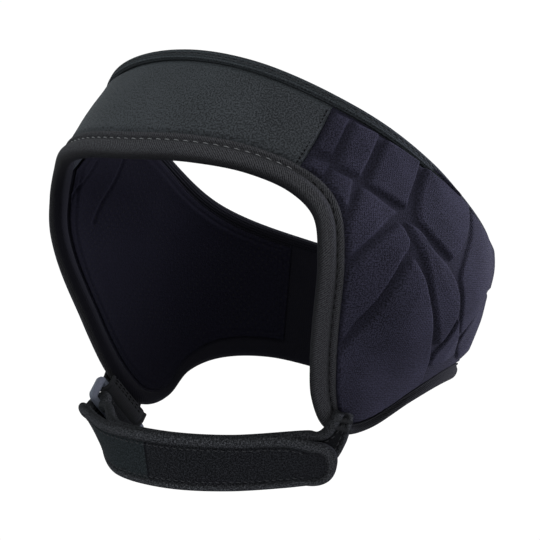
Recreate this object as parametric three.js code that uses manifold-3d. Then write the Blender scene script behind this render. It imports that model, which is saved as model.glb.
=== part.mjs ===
// Padded ear guard for sport: a forehead panel, two moulded ear pads, a back band, taped edges
// and a chin strap that folds back round a ring. The crown and the face are open.
// Millimetres, +Z up. The wearer faces -Y and the wearer's left is +X. The origin is the middle
// of the head hollow.
import * as THREE from 'three';
import { mergeVertices } from 'three/addons/utils/BufferGeometryUtils.js';
import { TessellateModifier } from 'three/addons/modifiers/TessellateModifier.js';
import Module from 'manifold-3d';

const wasm = await Module();
wasm.setup();

// Head form: the middle of the wall at each height, as half width, reach forward, reach back and
// the power of the front half's curve, where 2 is an ellipse and more is squarer.
const HEAD_SECTIONS = [
  { height: -100, halfWidth: 54, front: 75, back: 81, power: 2.35 },
  { height: -60, halfWidth: 75, front: 84, back: 91, power: 2.35 },
  { height: -25, halfWidth: 85, front: 107, back: 97, power: 2.55 },
  { height: -6, halfWidth: 83, front: 105, back: 95, power: 2.95 },
  { height: 10, halfWidth: 79, front: 99, back: 93, power: 2.5 },
  { height: 45, halfWidth: 72, front: 74, back: 92, power: 2.35 },
  { height: 80, halfWidth: 68, front: 61, back: 87, power: 2.35 },
];
const BACK_POWER = 2;

// Edges of the cloth, by angle in degrees round the head from the middle of the brow.
const TOP_RIM = [
  { angle: 0, height: 58 },
  { angle: 30, height: 53.5 },
  { angle: 60, height: 39 },
  { angle: 90, height: 20.5 },
  { angle: 120, height: -3 },
  { angle: 150, height: -16.5 },
  { angle: 180, height: -26.5 },
];
const LOWER_RIM = [
  { angle: 0, height: 11, tape: 7, flange: 3.5 },
  { angle: 18, height: 11, tape: 7, flange: 3.5 },
  { angle: 33, height: 8, tape: 7, flange: 3.5 },
  { angle: 43, height: 2, tape: 7, flange: 3.5 },
  { angle: 48.5, height: -7, tape: 7, flange: 3.5 },
  { angle: 50.5, height: -25, tape: 7, flange: 3.5 },
  { angle: 51.5, height: -48, tape: 7, flange: 3.5 },
  { angle: 53, height: -66, tape: 7, flange: 3.5 },
  { angle: 56, height: -81, tape: 7, flange: 3.2 },
  { angle: 63, height: -92, tape: 6, flange: 2 },
  { angle: 74, height: -95, tape: 4.5, flange: 1.2 },
  { angle: 88, height: -91.5, tape: 4.5, flange: 1.2 },
  { angle: 104, height: -80.5, tape: 5.5, flange: 1.2 },
  { angle: 120, height: -74, tape: 7.5, flange: 1.2 },
  { angle: 138, height: -72.5, tape: 7.5, flange: 1.2 },
  { angle: 158, height: -77, tape: 7, flange: 1.2 },
  { angle: 180, height: -82, tape: 6, flange: 1.2 },
];
const RIM_STEP = 9.5;

// Round roll of a tape, as shares of its width and of its half thickness, from the inner edge over
// the rim to the outer side. The outer edge of a tape with no flange closes it.
const TAPE_ROLL = [
  { depth: 1, lift: -0.8 },
  { depth: 0.5, lift: -1 },
  { depth: 0.15, lift: -0.75 },
  { depth: 0, lift: 0 },
  { depth: 0.15, lift: 0.75 },
  { depth: 0.5, lift: 1 },
];
const TAPE_OUTER_EDGE = { depth: 1, lift: 0.8 };

// Cloth layers, measured outward from the head form.
const GAP = 0.5;
const TOP_TAPE = 5.4;
const TAPE_HALF_THICKNESS = 3.6;
const FLANGE_LOW = 2.1;
const FLANGE_HIGH = 3.1;
const WALL_INSIDE = -3.2;
const WALL_EDGE = 1.5;
const WALL_OUTSIDE = 2.6;
const LINING_THICKNESS = 1.2;
const LINING_GAP = 1.2;
const LINING_MARGIN = 5;
const LINING_STRIDE = 3;

// Seams between the panels.
const BROW_SEAM = { angle: 49, height: 24, lean: 0.345 };
const BACK_SEAM_ANGLE = 142;

// Ear pad: how far the moulded foam swells past the wall, and the panels raised on it. An outline
// is a list of corners, each an angle round the head and a height.
const PAD_SWELL = { height: 5, angle: 91, level: -31, angleSpan: 35, levelSpan: 39 };
const PANEL_BEVEL = 1.6;
const PANEL_STEP = 7;
const PANELS = [
  { rise: 2.2, curved: false, outline: [[48, 18.5], [53.5, 34], [58, 32], [52, 15.5]] },
  { rise: 2.4, curved: false, outline: [[54, 13], [59.5, 31], [68, 28], [60, 8.5]] },
  { rise: 2.6, curved: false, outline: [[62, 6], [70.5, 26], [79, 22.5], [83, 19], [75, -2]] },
  { rise: 1.8, curved: false, outline: [[45, 9], [46.5, 14.5], [52, 13], [49, 5]] },
  { rise: 1.8, curved: false, outline: [[50.5, 2], [52, 11], [58, 7], [56, -3], [54.5, -4]] },
  {
    rise: 1.8,
    curved: false,
    outline: [[54.5, -13], [60, 4.5], [62, 4], [71.5, -3.5], [68, -7], [59.5, -18], [56, -24]],
  },
  {
    rise: 2.2,
    curved: true,
    outline: [
      [57, -30], [62, -18.5], [69, -10], [73, -10], [74, -16],
      [71, -22], [65.5, -38], [62.5, -46], [59.5, -56], [57.5, -44],
    ],
  },
  {
    rise: 2.6,
    curved: true,
    outline: [
      [60.5, -60], [68, -41], [74.8, -21], [83, -34], [91, -51.5],
      [97, -62], [99.5, -70], [93, -76], [84, -81], [74, -81], [65, -77], [60, -68],
    ],
  },
  {
    rise: 2.4,
    curved: true,
    outline: [
      [74, -7.5], [82, -16.5], [89, -22.5], [96, -32.5], [98, -45],
      [96.5, -53], [91.5, -46.5], [84, -32.5], [76.5, -14.5],
    ],
  },
  {
    rise: 2.8,
    curved: false,
    outline: [
      [86, 17.5], [91, 16], [98.5, 11], [103, 6.5], [102.5, -0.5],
      [97, -12], [90.5, -20.8], [83, -13.5], [78.5, -7],
    ],
  },
  {
    rise: 2.4,
    curved: true,
    outline: [[100.5, -42], [111, -54], [115, -58.5], [108, -61.5], [99.5, -63.5], [99, -53]],
  },
  {
    rise: 2.6,
    curved: true,
    outline: [
      [106, 3.5], [113, -2], [122, -9], [132, -14], [138, -20], [137, -29], [126, -32], [118, -36],
      [108.5, -49], [101, -39], [95.5, -26], [100, -13],
    ],
  },
  {
    rise: 2,
    curved: true,
    outline: [[116, -43.5], [122, -38.5], [137, -33], [138, -48], [136, -61], [126, -62], [112.5, -51.5]],
  },
];

// Chin strap: its middle line from the ring to the free tip, and the direction across it from the
// upper edge to the lower edge.
const STRAP = { width: 25, thickness: 2.6, layerGap: 0.6, edgeBulge: 0.4, step: 9, foldSteps: 6, tip: 11 };
const TIP_SHARES = [0.4, 0.7, 0.9, 0.98];
// Half of a ribbon's section: shares of its width, with the bound edge's roll between two of them.
const RIBBON = { edge: 0.5, edgeLift: 0.6, roll: 0.36 };
const STRAP_OUTER_RUN = [
  { x: -43, y: -62, z: -106, across: [0.25, 0.5, -0.83] },
  { x: -20, y: -73, z: -110.3, across: [0.05, 0.4, -0.92] },
  { x: 8, y: -71, z: -111.3, across: [-0.1, 0.33, -0.94] },
  { x: 32, y: -57, z: -110.3, across: [-0.25, 0.28, -0.93] },
  { x: 50, y: -42, z: -107, across: [-0.25, 0.25, -0.94], width: 23 },
  { x: 57, y: -35.5, z: -106.5, across: [-0.3, 0.2, -0.93], width: 18 },
];
// The sewn end climbs over the lower edge of the left pad and is gathered there.
const STRAP_SEWN_RUN = [
  { x: 55.5, y: -29.6, z: -102, across: [-0.1, 0.7, -0.7], width: 22 },
  { x: 61, y: -27.2, z: -96.4, across: [0.1, 0.95, -0.3], width: 15 },
  { x: 65.9, y: -27.2, z: -86, across: [0.15, 0.98, -0.1], width: 10 },
];

// Ring on the right pad tip, and the webbing tab that holds it.
const RING = {
  length: 34,
  width: 15,
  bar: 2.8,
  end: 3.8,
  thickness: 2.6,
  corner: 3,
  holeCorner: 1,
  cornerSteps: 3,
};
const TAB = {
  angle: -63.5,
  width: 25,
  thickness: 1.6,
  hang: 5,
  overlap: 11,
  lift: 5.5,
  turn: 10,
  droop: 6,
  stub: 4.2,
  wrapSteps: 6,
};

const COLOURS = {
  pad: 0x24232d,
  brow: 0x282c2e,
  tape: 0x1e1f21,
  lining: 0x0f0f13,
  strap: 0x202325,
  ring: 0x6d7680,
};
const CLOTH_ROUGHNESS = 0.9;
const PLASTIC_ROUGHNESS = 0.45;

// Pattern plane: X is the angle round the head times this scale, Y is the height, Z is the offset.
const PATTERN_MM_PER_DEGREE = 1.5;
const BEND_EDGE = 19;
const BEND_PASSES = 9;
const SLOPE_STEP = 0.5;
const FULL_TURN = 360;
const HALF_TURN = 180;

const sectionHeights = HEAD_SECTIONS.map((row) => row.height);
const sectionSizes = HEAD_SECTIONS.flatMap((row) => [row.halfWidth, row.front, row.back, row.power]);
const sizesPerSection = sectionSizes.length / sectionHeights.length;
const sections = new THREE.CubicInterpolant(sectionHeights, sectionSizes, sizesPerSection);

function headPoint(angle, height) {
  const [halfWidth, front, back, frontPower] = sections.evaluate(height);
  const turn = THREE.MathUtils.degToRad(angle);
  const faces = Math.cos(turn) > 0;
  const power = faces ? frontPower : BACK_POWER;
  const across = Math.abs(Math.sin(turn)) / halfWidth;
  const along = Math.abs(Math.cos(turn)) / (faces ? front : back);
  const radius = (across ** power + along ** power) ** (-1 / power);
  return new THREE.Vector3(radius * Math.sin(turn), -radius * Math.cos(turn), height);
}

// Directions along the head form at a place, in millimetres for each degree and each millimetre.
function headSlopes(angle, height) {
  const round = headPoint(angle + SLOPE_STEP, height).sub(headPoint(angle - SLOPE_STEP, height));
  const rise = headPoint(angle, height + SLOPE_STEP).sub(headPoint(angle, height - SLOPE_STEP));
  return { round: round.divideScalar(2 * SLOPE_STEP), rise: rise.divideScalar(2 * SLOPE_STEP) };
}

function onHead(angle, height, offset) {
  const { round, rise } = headSlopes(angle, height);
  const outward = round.cross(rise).normalize();
  return headPoint(angle, height).addScaledVector(outward, offset);
}

// Rim tables hold one half of the head. The other half mirrors them, and both run on past the back.
function wholeRim(rows) {
  const other = rows.slice(1).reverse();
  const mirrored = other.map((row) => ({ ...row, angle: -row.angle }));
  const before = rows.slice(1, -1).map((row) => ({ ...row, angle: row.angle - FULL_TURN }));
  const beyond = other.slice(1).map((row) => ({ ...row, angle: FULL_TURN - row.angle }));
  return [...before, ...mirrored, ...rows, ...beyond];
}

const topRows = wholeRim(TOP_RIM);
const topHeights = new THREE.CubicInterpolant(
  topRows.map((row) => row.angle),
  topRows.map((row) => row.height),
  1,
);

// Rim stations: place, the unit direction along the rim and the unit direction into the cloth.
function rimStation(angle, height, along, tape, flange) {
  const { round, rise } = headSlopes(angle, height);
  const travel = new THREE.Vector2(along.x * round.length(), along.y * rise.length()).normalize();
  const inward = new THREE.Vector2(-travel.y / round.length(), travel.x / rise.length());
  return { angle, height, inward, tape, flange };
}

function topStations() {
  const count = Math.round((FULL_TURN * PATTERN_MM_PER_DEGREE) / RIM_STEP);
  const stations = [];
  for (let i = 0; i < count; i += 1) {
    const angle = (FULL_TURN * i) / count - HALF_TURN;
    const height = topHeights.evaluate(angle)[0];
    const slope = topHeights.evaluate(angle + SLOPE_STEP)[0] - topHeights.evaluate(angle - SLOPE_STEP)[0];
    const along = new THREE.Vector2(-2 * SLOPE_STEP, -slope);
    stations.push(rimStation(angle, height, along, TOP_TAPE, 0));
  }
  return stations;
}

const lowerRows = wholeRim(LOWER_RIM);
const lowerPlace = new THREE.CatmullRomCurve3(
  lowerRows.map((row) => new THREE.Vector3(row.angle * PATTERN_MM_PER_DEGREE, row.height, 0)),
);
const lowerTape = new THREE.CatmullRomCurve3(
  lowerRows.map((row) => new THREE.Vector3(row.tape, row.flange, 0)),
);

function lowerStations() {
  const stations = [];
  const count = Math.round(lowerPlace.getLength() / RIM_STEP);
  for (let i = 0; i <= count; i += 1) {
    const share = lowerPlace.getUtoTmapping(i / count);
    const place = lowerPlace.getPoint(share);
    const along = lowerPlace.getTangent(share);
    along.x /= PATTERN_MM_PER_DEGREE;
    const tape = lowerTape.getPoint(share);
    const angle = place.x / PATTERN_MM_PER_DEGREE;
    if (angle >= -HALF_TURN && angle < HALF_TURN) {
      stations.push(rimStation(angle, place.y, along, tape.x, tape.y));
    }
  }
  return stations;
}

function insetPlace(station, depth) {
  return new THREE.Vector2(
    station.angle + station.inward.x * depth,
    station.height + station.inward.y * depth,
  );
}

function toPattern(place) {
  return new THREE.Vector2(place.x * PATTERN_MM_PER_DEGREE, place.y);
}

// Solids in the pattern plane.
function toSolid(geometry) {
  geometry.deleteAttribute('normal');
  geometry.deleteAttribute('uv');
  const merged = mergeVertices(geometry);
  const vertProperties = new Float32Array(merged.attributes.position.array);
  const triVerts = new Uint32Array(merged.index.array);
  return new wasm.Manifold(new wasm.Mesh({ numProp: 3, vertProperties, triVerts }));
}

function flatSolid(points, low, high, bevel) {
  const geometry = new THREE.ExtrudeGeometry(new THREE.Shape(points), {
    depth: high - low - 2 * bevel,
    steps: 1,
    bevelEnabled: bevel > 0,
    bevelSize: bevel,
    bevelThickness: bevel,
    bevelOffset: -bevel,
    bevelSegments: 1,
  });
  geometry.translate(0, 0, low + bevel);
  return toSolid(geometry);
}

const topLoop = topStations();
const lowerLoop = lowerStations();

// One turn of a rim laid flat, cut at the right ear so that brow, left ear and back are whole.
const PATTERN_CUT = -90;
function unroll(loop) {
  const kept = loop.filter((station) => station.angle >= PATTERN_CUT);
  const moved = loop.filter((station) => station.angle < PATTERN_CUT);
  return [...kept, ...moved.map((station) => ({ ...station, angle: station.angle + FULL_TURN }))];
}

const bandLower = unroll(lowerLoop);
const bandTop = unroll(topLoop);

// The cloth band inside both tapes, with a margin added to each tape's own width.
function band(lowerMargin, topMargin, low, high, stride = 1) {
  const spread = (stations) => stations.filter((station, i) => i % stride === 0);
  const lower = spread(bandLower).map((station) => toPattern(insetPlace(station, lowerMargin(station))));
  const top = spread(bandTop).map((station) => toPattern(insetPlace(station, TOP_TAPE + topMargin)));
  return flatSolid([...lower, ...top.reverse()], low, high, 0);
}

const pastTape = (station) => station.tape + GAP;
const pastFlange = (station) => station.tape + station.flange + GAP;
const pastLiningEdge = (station) => station.tape + LINING_MARGIN;

function wallBand() {
  const edge = band(pastTape, GAP, WALL_INSIDE, WALL_EDGE);
  return edge.add(band(pastFlange, GAP, WALL_INSIDE, WALL_OUTSIDE));
}

function browSeamAngle(height) {
  return BROW_SEAM.angle + BROW_SEAM.lean * (height - BROW_SEAM.height);
}

// Sector of the pattern between two edges, each given by its angle at a height.
const SECTOR_LOW = -105;
const SECTOR_HIGH = 90;
const SECTOR_DEPTH = 20;
function sector(firstEdge, lastEdge) {
  const corners = [
    new THREE.Vector2(firstEdge(SECTOR_LOW), SECTOR_LOW),
    new THREE.Vector2(lastEdge(SECTOR_LOW), SECTOR_LOW),
    new THREE.Vector2(lastEdge(SECTOR_HIGH), SECTOR_HIGH),
    new THREE.Vector2(firstEdge(SECTOR_HIGH), SECTOR_HIGH),
  ];
  return flatSolid(corners.map(toPattern), -SECTOR_DEPTH, SECTOR_DEPTH, 0);
}

const seamGap = GAP / 2 / PATTERN_MM_PER_DEGREE;
const padSector = sector((height) => browSeamAngle(height) + seamGap, () => BACK_SEAM_ANGLE - seamGap);
const backSector = sector(() => BACK_SEAM_ANGLE + seamGap, () => FULL_TURN - BACK_SEAM_ANGLE - seamGap);
const browSector = sector(
  (height) => seamGap - browSeamAngle(height),
  (height) => browSeamAngle(height) - seamGap,
);

function panelOutline(panel) {
  const corners = panel.outline.map(([angle, height]) => toPattern({ x: angle, y: height }));
  if (!panel.curved) return corners;
  const curve = new THREE.CatmullRomCurve3(corners.map((p) => new THREE.Vector3(p.x, p.y, 0)), true);
  const count = Math.round(curve.getLength() / PANEL_STEP);
  return curve.getSpacedPoints(count).slice(0, count).map((p) => new THREE.Vector2(p.x, p.y));
}

function padSolid() {
  const room = band(pastFlange, 2 * GAP, WALL_INSIDE, SECTOR_DEPTH).intersect(padSector);
  return PANELS.reduce((solid, panel) => {
    const raised = flatSolid(panelOutline(panel), WALL_INSIDE / 2, WALL_OUTSIDE + panel.rise, PANEL_BEVEL);
    return solid.add(raised.intersect(room));
  }, wallBand().intersect(padSector));
}

// Bending a flat solid round the head form.
function padSwell(angle, height) {
  const across = (angle - PAD_SWELL.angle) / PAD_SWELL.angleSpan;
  const up = (height - PAD_SWELL.level) / PAD_SWELL.levelSpan;
  const inside = Math.max(0, 1 - across * across - up * up);
  return PAD_SWELL.height * THREE.MathUtils.smoothstep(inside, 0, 1);
}

const noSwell = () => 0;

function bend(solid, swell, side) {
  const mesh = solid.getMesh();
  const flat = new THREE.BufferGeometry();
  flat.setAttribute('position', new THREE.BufferAttribute(new Float32Array(mesh.vertProperties), 3));
  flat.setIndex(new THREE.BufferAttribute(new Uint32Array(mesh.triVerts), 1));
  const fine = mergeVertices(new TessellateModifier(BEND_EDGE, BEND_PASSES).modify(flat.toNonIndexed()));
  const place = fine.attributes.position;
  for (let i = 0; i < place.count; i += 1) {
    const angle = place.getX(i) / PATTERN_MM_PER_DEGREE;
    const height = place.getY(i);
    const offset = place.getZ(i);
    const share = THREE.MathUtils.smoothstep(offset, WALL_INSIDE, WALL_EDGE);
    const bent = onHead(angle, height, offset + share * swell(angle, height));
    place.setXYZ(i, side * bent.x, bent.y, bent.z);
  }
  if (side < 0) fine.index.array.reverse();
  fine.computeVertexNormals();
  return fine;
}

// Closed surface through rings of points. Open runs get a fan of triangles at each end.
function skin(rings, closed) {
  const count = rings[0].length;
  const index = [];
  const last = closed ? rings.length : rings.length - 1;
  for (let i = 0; i < last; i += 1) {
    const here = i * count;
    const next = ((i + 1) % rings.length) * count;
    for (let j = 0; j < count; j += 1) {
      const k = (j + 1) % count;
      index.push(here + j, here + k, next + k, here + j, next + k, next + j);
    }
  }
  if (!closed) {
    const end = (rings.length - 1) * count;
    for (let j = 1; j < count - 1; j += 1) {
      index.push(0, j + 1, j, end, end + j, end + j + 1);
    }
  }
  const geometry = new THREE.BufferGeometry().setFromPoints(rings.flat());
  geometry.setIndex(index);
  geometry.computeVertexNormals();
  return geometry;
}

// Tape folded over a rim: a round roll and, outside, a flat flange that lies on the panel's edge.
function tapeSection(station) {
  const { tape, flange } = station;
  const toSize = ({ depth, lift }) => [depth * tape, lift * TAPE_HALF_THICKNESS];
  if (flange === 0) return [...TAPE_ROLL, TAPE_OUTER_EDGE].map(toSize);
  return [
    ...TAPE_ROLL.map(toSize),
    [tape, FLANGE_HIGH],
    [tape + flange, FLANGE_HIGH],
    [tape + flange, FLANGE_LOW],
    [tape, FLANGE_LOW],
  ];
}

function tapeLoop(stations) {
  const rings = stations.map((station) => tapeSection(station).map(([depth, offset]) => {
    const place = insetPlace(station, depth);
    return onHead(place.x, place.y, offset);
  }));
  return skin(rings, true);
}

// Ring place: the bars lie along the lower front edge of the right pad and hang away from it.
function ringFrame() {
  const tip = lowerLoop.reduce((best, station) => (
    Math.abs(station.angle - TAB.angle) < Math.abs(best.angle - TAB.angle) ? station : best));
  const { round, rise } = headSlopes(tip.angle, tip.height);
  const outward = round.clone().cross(rise).normalize();
  const hang = round.clone().multiplyScalar(-tip.inward.x).addScaledVector(rise, -tip.inward.y).normalize();
  hang.applyAxisAngle(outward, THREE.MathUtils.degToRad(TAB.turn));
  const across = hang.clone().cross(outward).normalize();
  hang.applyAxisAngle(across, THREE.MathUtils.degToRad(TAB.droop));
  const out = across.clone().cross(hang).normalize();
  return { tip, hang, out, across, edge: onHead(tip.angle, tip.height, TAB.lift) };
}

const ring = ringFrame();
const barReach = RING.width - RING.bar;
const wrapRadius = (thickness) => (Math.hypot(RING.bar, RING.thickness) + thickness) / 2 + GAP;
const rearBar = ring.edge.clone()
  .addScaledVector(ring.hang, TAB.hang)
  .addScaledVector(ring.out, -wrapRadius(TAB.thickness));
const frontBar = rearBar.clone().addScaledVector(ring.hang, barReach);

function ringGeometry() {
  const halfLength = RING.length / 2;
  const halfWidth = RING.width / 2;
  const roundBox = (path, x, y, r) => path
    .moveTo(x - r, -y)
    .absarc(x - r, r - y, r, -Math.PI / 2, 0)
    .absarc(x - r, y - r, r, 0, Math.PI / 2)
    .absarc(r - x, y - r, r, Math.PI / 2, Math.PI)
    .absarc(r - x, r - y, r, Math.PI, 1.5 * Math.PI);
  const outline = roundBox(new THREE.Shape(), halfLength, halfWidth, RING.corner);
  const hole = roundBox(new THREE.Path(), halfLength - RING.end, halfWidth - RING.bar, RING.holeCorner);
  outline.holes.push(hole);
  const geometry = new THREE.ExtrudeGeometry(outline, {
    depth: RING.thickness,
    bevelEnabled: false,
    curveSegments: RING.cornerSteps,
  });
  return geometry.translate(0, 0, -RING.thickness / 2);
}

// A ribbon through stations, each with a middle, a direction across and a width.
function ribbon(stations, thickness, bulge) {
  const { edge, edgeLift, roll } = RIBBON;
  const front = [[edge, edgeLift], [roll, 1 + bulge], [0, 1], [-roll, 1 + bulge], [-edge, edgeLift]];
  const back = front.map(([share, lift]) => [-share, -lift]);
  const half = thickness / 2;
  const rings = stations.map((station, i) => {
    const before = stations[Math.max(i - 1, 0)];
    const after = stations[Math.min(i + 1, stations.length - 1)];
    const travel = after.middle.clone().sub(before.middle);
    const face = travel.cross(station.across).normalize();
    return [...front, ...back].map(([share, lift]) => station.middle.clone()
      .addScaledVector(station.across, share * station.width)
      .addScaledVector(face, lift * half));
  });
  return skin(rings, false);
}

function smoothStations(rows, step) {
  const middles = new THREE.CatmullRomCurve3(rows.map((row) => row.middle));
  const count = Math.round(middles.getLength() / step);
  const acrosses = new THREE.CatmullRomCurve3(rows.map((row) => row.across));
  const widths = new THREE.CatmullRomCurve3(rows.map((row) => new THREE.Vector3(row.width, 0, 0)));
  const stations = [];
  for (let i = 0; i <= count; i += 1) {
    const share = middles.getUtoTmapping(i / count);
    stations.push({
      middle: middles.getPoint(share),
      across: acrosses.getPoint(share).normalize(),
      width: widths.getPoint(share).x,
    });
  }
  return stations;
}

const strapStation = (row) => ({
  middle: new THREE.Vector3(row.x, row.y, row.z),
  across: new THREE.Vector3(...row.across).normalize(),
  width: row.width ?? STRAP.width,
});

// A strip turning round a bar, from its inner side to its outer side past the given direction.
function wrap(bar, direction, thickness, width, steps) {
  const radius = wrapRadius(thickness);
  const stations = [];
  for (let i = 0; i <= steps; i += 1) {
    const turn = Math.PI * (i / steps - 0.5);
    stations.push({
      middle: bar.clone()
        .addScaledVector(direction, radius * Math.cos(turn))
        .addScaledVector(ring.out, radius * Math.sin(turn)),
      across: ring.across,
      width,
    });
  }
  return stations;
}

// The free end runs straight on past its last station and narrows as half an ellipse.
function roundTip(stations) {
  const last = stations.at(-1);
  const travel = last.middle.clone().sub(stations.at(-2).middle).normalize();
  return TIP_SHARES.map((share) => ({
    middle: last.middle.clone().addScaledVector(travel, STRAP.tip * share),
    across: last.across,
    width: last.width * Math.sqrt(1 - share * share),
  }));
}

function strapGeometry() {
  const outer = STRAP_OUTER_RUN.map(strapStation);
  const pitch = STRAP.thickness * (1 + STRAP.edgeBulge) + STRAP.layerGap;
  const inner = outer.slice(0, -2).map((station, i) => {
    const travel = outer[i + 1].middle.clone().sub(outer[Math.max(i - 1, 0)].middle);
    const face = travel.cross(station.across).normalize();
    return { ...station, middle: station.middle.clone().addScaledVector(face, pitch) };
  });
  const depth = STRAP.thickness * (1 + STRAP.edgeBulge);
  const fold = wrap(frontBar, ring.hang.clone().negate(), depth, STRAP.width, STRAP.foldSteps);
  const pastBar = (station) => ({
    ...station,
    middle: station.middle.clone().addScaledVector(ring.hang, RING.bar),
  });
  const sewn = STRAP_SEWN_RUN.map(strapStation).reverse();
  const arriving = smoothStations([...sewn, ...inner.reverse(), pastBar(fold[0]), fold[0]], STRAP.step);
  const leaving = smoothStations([fold.at(-1), pastBar(fold.at(-1)), ...outer], STRAP.step);
  const whole = [...arriving, ...fold.slice(1, -1), ...leaving, ...roundTip(leaving)];
  return ribbon(whole, STRAP.thickness, STRAP.edgeBulge);
}

function tabGeometry() {
  const tail = insetPlace(ring.tip, TAB.overlap);
  const tailEnd = { middle: onHead(tail.x, tail.y, TAB.lift), across: ring.across, width: TAB.width };
  const edge = { middle: ring.edge, across: ring.across, width: TAB.width };
  const turn = wrap(rearBar, ring.hang, TAB.thickness, TAB.width, TAB.wrapSteps).reverse();
  const stub = { ...turn.at(-1), middle: turn.at(-1).middle.clone().addScaledVector(ring.hang, -TAB.stub) };
  return ribbon([tailEnd, edge, ...turn, stub], TAB.thickness, 0);
}

function cloth(name, geometry, color) {
  const material = new THREE.MeshStandardMaterial({ color, roughness: CLOTH_ROUGHNESS, metalness: 0 });
  const mesh = new THREE.Mesh(geometry, material);
  mesh.name = name;
  return mesh;
}

const earGuard = new THREE.Group();

const wall = wallBand();
earGuard.add(cloth('forehead_panel', bend(wall.intersect(browSector), noSwell, 1), COLOURS.brow));
earGuard.add(cloth('back_band', bend(wall.intersect(backSector), noSwell, 1), COLOURS.pad));

function liningSolid() {
  const outside = WALL_INSIDE - LINING_GAP;
  const inside = outside - LINING_THICKNESS;
  return band(pastLiningEdge, LINING_MARGIN, inside, outside, LINING_STRIDE).intersect(padSector);
}

const pad = padSolid();
const lining = liningSolid();
for (const [hand, side] of [['left', 1], ['right', -1]]) {
  earGuard.add(cloth(`ear_pad_${hand}`, bend(pad, padSwell, side), COLOURS.pad));
  earGuard.add(cloth(`ear_lining_${hand}`, bend(lining, noSwell, side), COLOURS.lining));
}

earGuard.add(cloth('top_binding', tapeLoop(topLoop), COLOURS.tape));
earGuard.add(cloth('lower_binding', tapeLoop(lowerLoop.toReversed()), COLOURS.tape));
earGuard.add(cloth('chin_strap', strapGeometry(), COLOURS.strap));
earGuard.add(cloth('ring_tab', tabGeometry(), COLOURS.tape));

const ringMesh = new THREE.Mesh(ringGeometry(), new THREE.MeshStandardMaterial({
  color: COLOURS.ring,
  roughness: PLASTIC_ROUGHNESS,
  metalness: 0,
}));
ringMesh.name = 'strap_ring';
ringMesh.position.copy(rearBar).lerp(frontBar, 0.5);
const ringAxes = new THREE.Matrix4().makeBasis(ring.across, ring.hang, ring.out);
ringMesh.quaternion.setFromRotationMatrix(ringAxes);
earGuard.add(ringMesh);

export default earGuard;
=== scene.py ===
import bpy
import numpy as np
from mathutils import Matrix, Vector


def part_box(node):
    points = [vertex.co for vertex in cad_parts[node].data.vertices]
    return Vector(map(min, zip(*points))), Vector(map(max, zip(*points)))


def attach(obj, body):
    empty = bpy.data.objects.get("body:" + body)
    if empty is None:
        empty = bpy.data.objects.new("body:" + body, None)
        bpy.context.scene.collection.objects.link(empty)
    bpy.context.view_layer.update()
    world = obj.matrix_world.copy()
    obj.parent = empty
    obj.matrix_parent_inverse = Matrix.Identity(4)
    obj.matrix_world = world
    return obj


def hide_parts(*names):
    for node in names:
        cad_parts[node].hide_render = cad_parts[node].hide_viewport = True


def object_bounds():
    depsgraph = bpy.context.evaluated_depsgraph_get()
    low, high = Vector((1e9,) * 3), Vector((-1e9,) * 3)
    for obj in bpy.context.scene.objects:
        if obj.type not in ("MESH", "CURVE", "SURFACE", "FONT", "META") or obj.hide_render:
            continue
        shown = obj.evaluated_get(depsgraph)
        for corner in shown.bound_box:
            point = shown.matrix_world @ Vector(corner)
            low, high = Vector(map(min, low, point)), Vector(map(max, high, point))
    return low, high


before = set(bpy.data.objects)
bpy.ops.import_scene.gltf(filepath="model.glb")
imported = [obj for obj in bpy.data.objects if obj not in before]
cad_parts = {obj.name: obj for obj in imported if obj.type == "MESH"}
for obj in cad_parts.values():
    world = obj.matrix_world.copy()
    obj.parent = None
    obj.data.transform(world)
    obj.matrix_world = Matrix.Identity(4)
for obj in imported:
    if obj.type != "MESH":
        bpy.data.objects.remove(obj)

# Padded ear guard, worn form. Lengths are millimetres until a piece is made, angles are degrees
# round the head from the middle of the brow, and the wearer faces -Y.
CAD_BOX = [list(corner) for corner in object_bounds()]
MM = 0.001

# Head form: height, half width, reach forward, reach back and power of the front half's curve
HEAD_SECTIONS = np.array([
    (-100, 54, 75, 81, 2.35),
    (-60, 75, 84, 91, 2.35),
    (-25, 85, 107, 97, 2.55),
    (-6, 83, 105, 95, 2.95),
    (10, 79, 99, 93, 2.5),
    (45, 72, 74, 92, 2.35),
    (80, 68, 61, 87, 2.35),
])
BACK_POWER = 2
SLOPE_STEP = 0.5

# Rims of the cloth on one half of the head: angle, height, tape width and flange width
TOP_RIM = np.array([
    (0, 58, 5.4, 0),
    (30, 53.5, 5.4, 0),
    (60, 39, 5.4, 0),
    (90, 20.5, 5.4, 0),
    (120, -3, 5.4, 0),
    (150, -16.5, 5.4, 0),
    (180, -26.5, 5.4, 0),
])
LOWER_RIM = np.array([
    (0, 11, 7, 3.5),
    (18, 11, 7, 3.5),
    (33, 8, 7, 3.5),
    (43, 2, 7, 3.5),
    (48.5, -7, 7, 3.5),
    (50.5, -25, 7, 3.5),
    (51.5, -48, 7, 3.5),
    (53, -66, 7, 3.5),
    (56, -81, 7, 3.2),
    (63, -92, 6, 2),
    (74, -95, 4.5, 1.2),
    (88, -91.5, 4.5, 1.2),
    (104, -80.5, 5.5, 1.2),
    (120, -74, 7.5, 1.2),
    (138, -72.5, 7.5, 1.2),
    (158, -77, 7, 1.2),
    (180, -82, 6, 1.2),
])
# Columns of a rim's rows: its place, tape and flange, and the step in angle and height into the cloth
PLACE = slice(0, 2)
ANGLE = 0
HEIGHT = 1
TAPE = 2
FLANGE = 3
INWARD = slice(4, 6)
MIRROR_ROW = np.array((-1, 1, 1, 1))
FULL_TURN_ROW = np.array((360, 0, 0, 0))
RIM_STEP = 0.6
RIM_SPAN_STEPS = 40
# Angles at which a rim is cut open, so that the cut lies far from the piece that is made
CUT_AT_RIGHT = -90
CUT_AT_BROW = 0
# Shares of the flange past a tape, at which distances to it are measured
FLANGE_MIDDLE = 0.5
TAPE_END = 0

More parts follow.
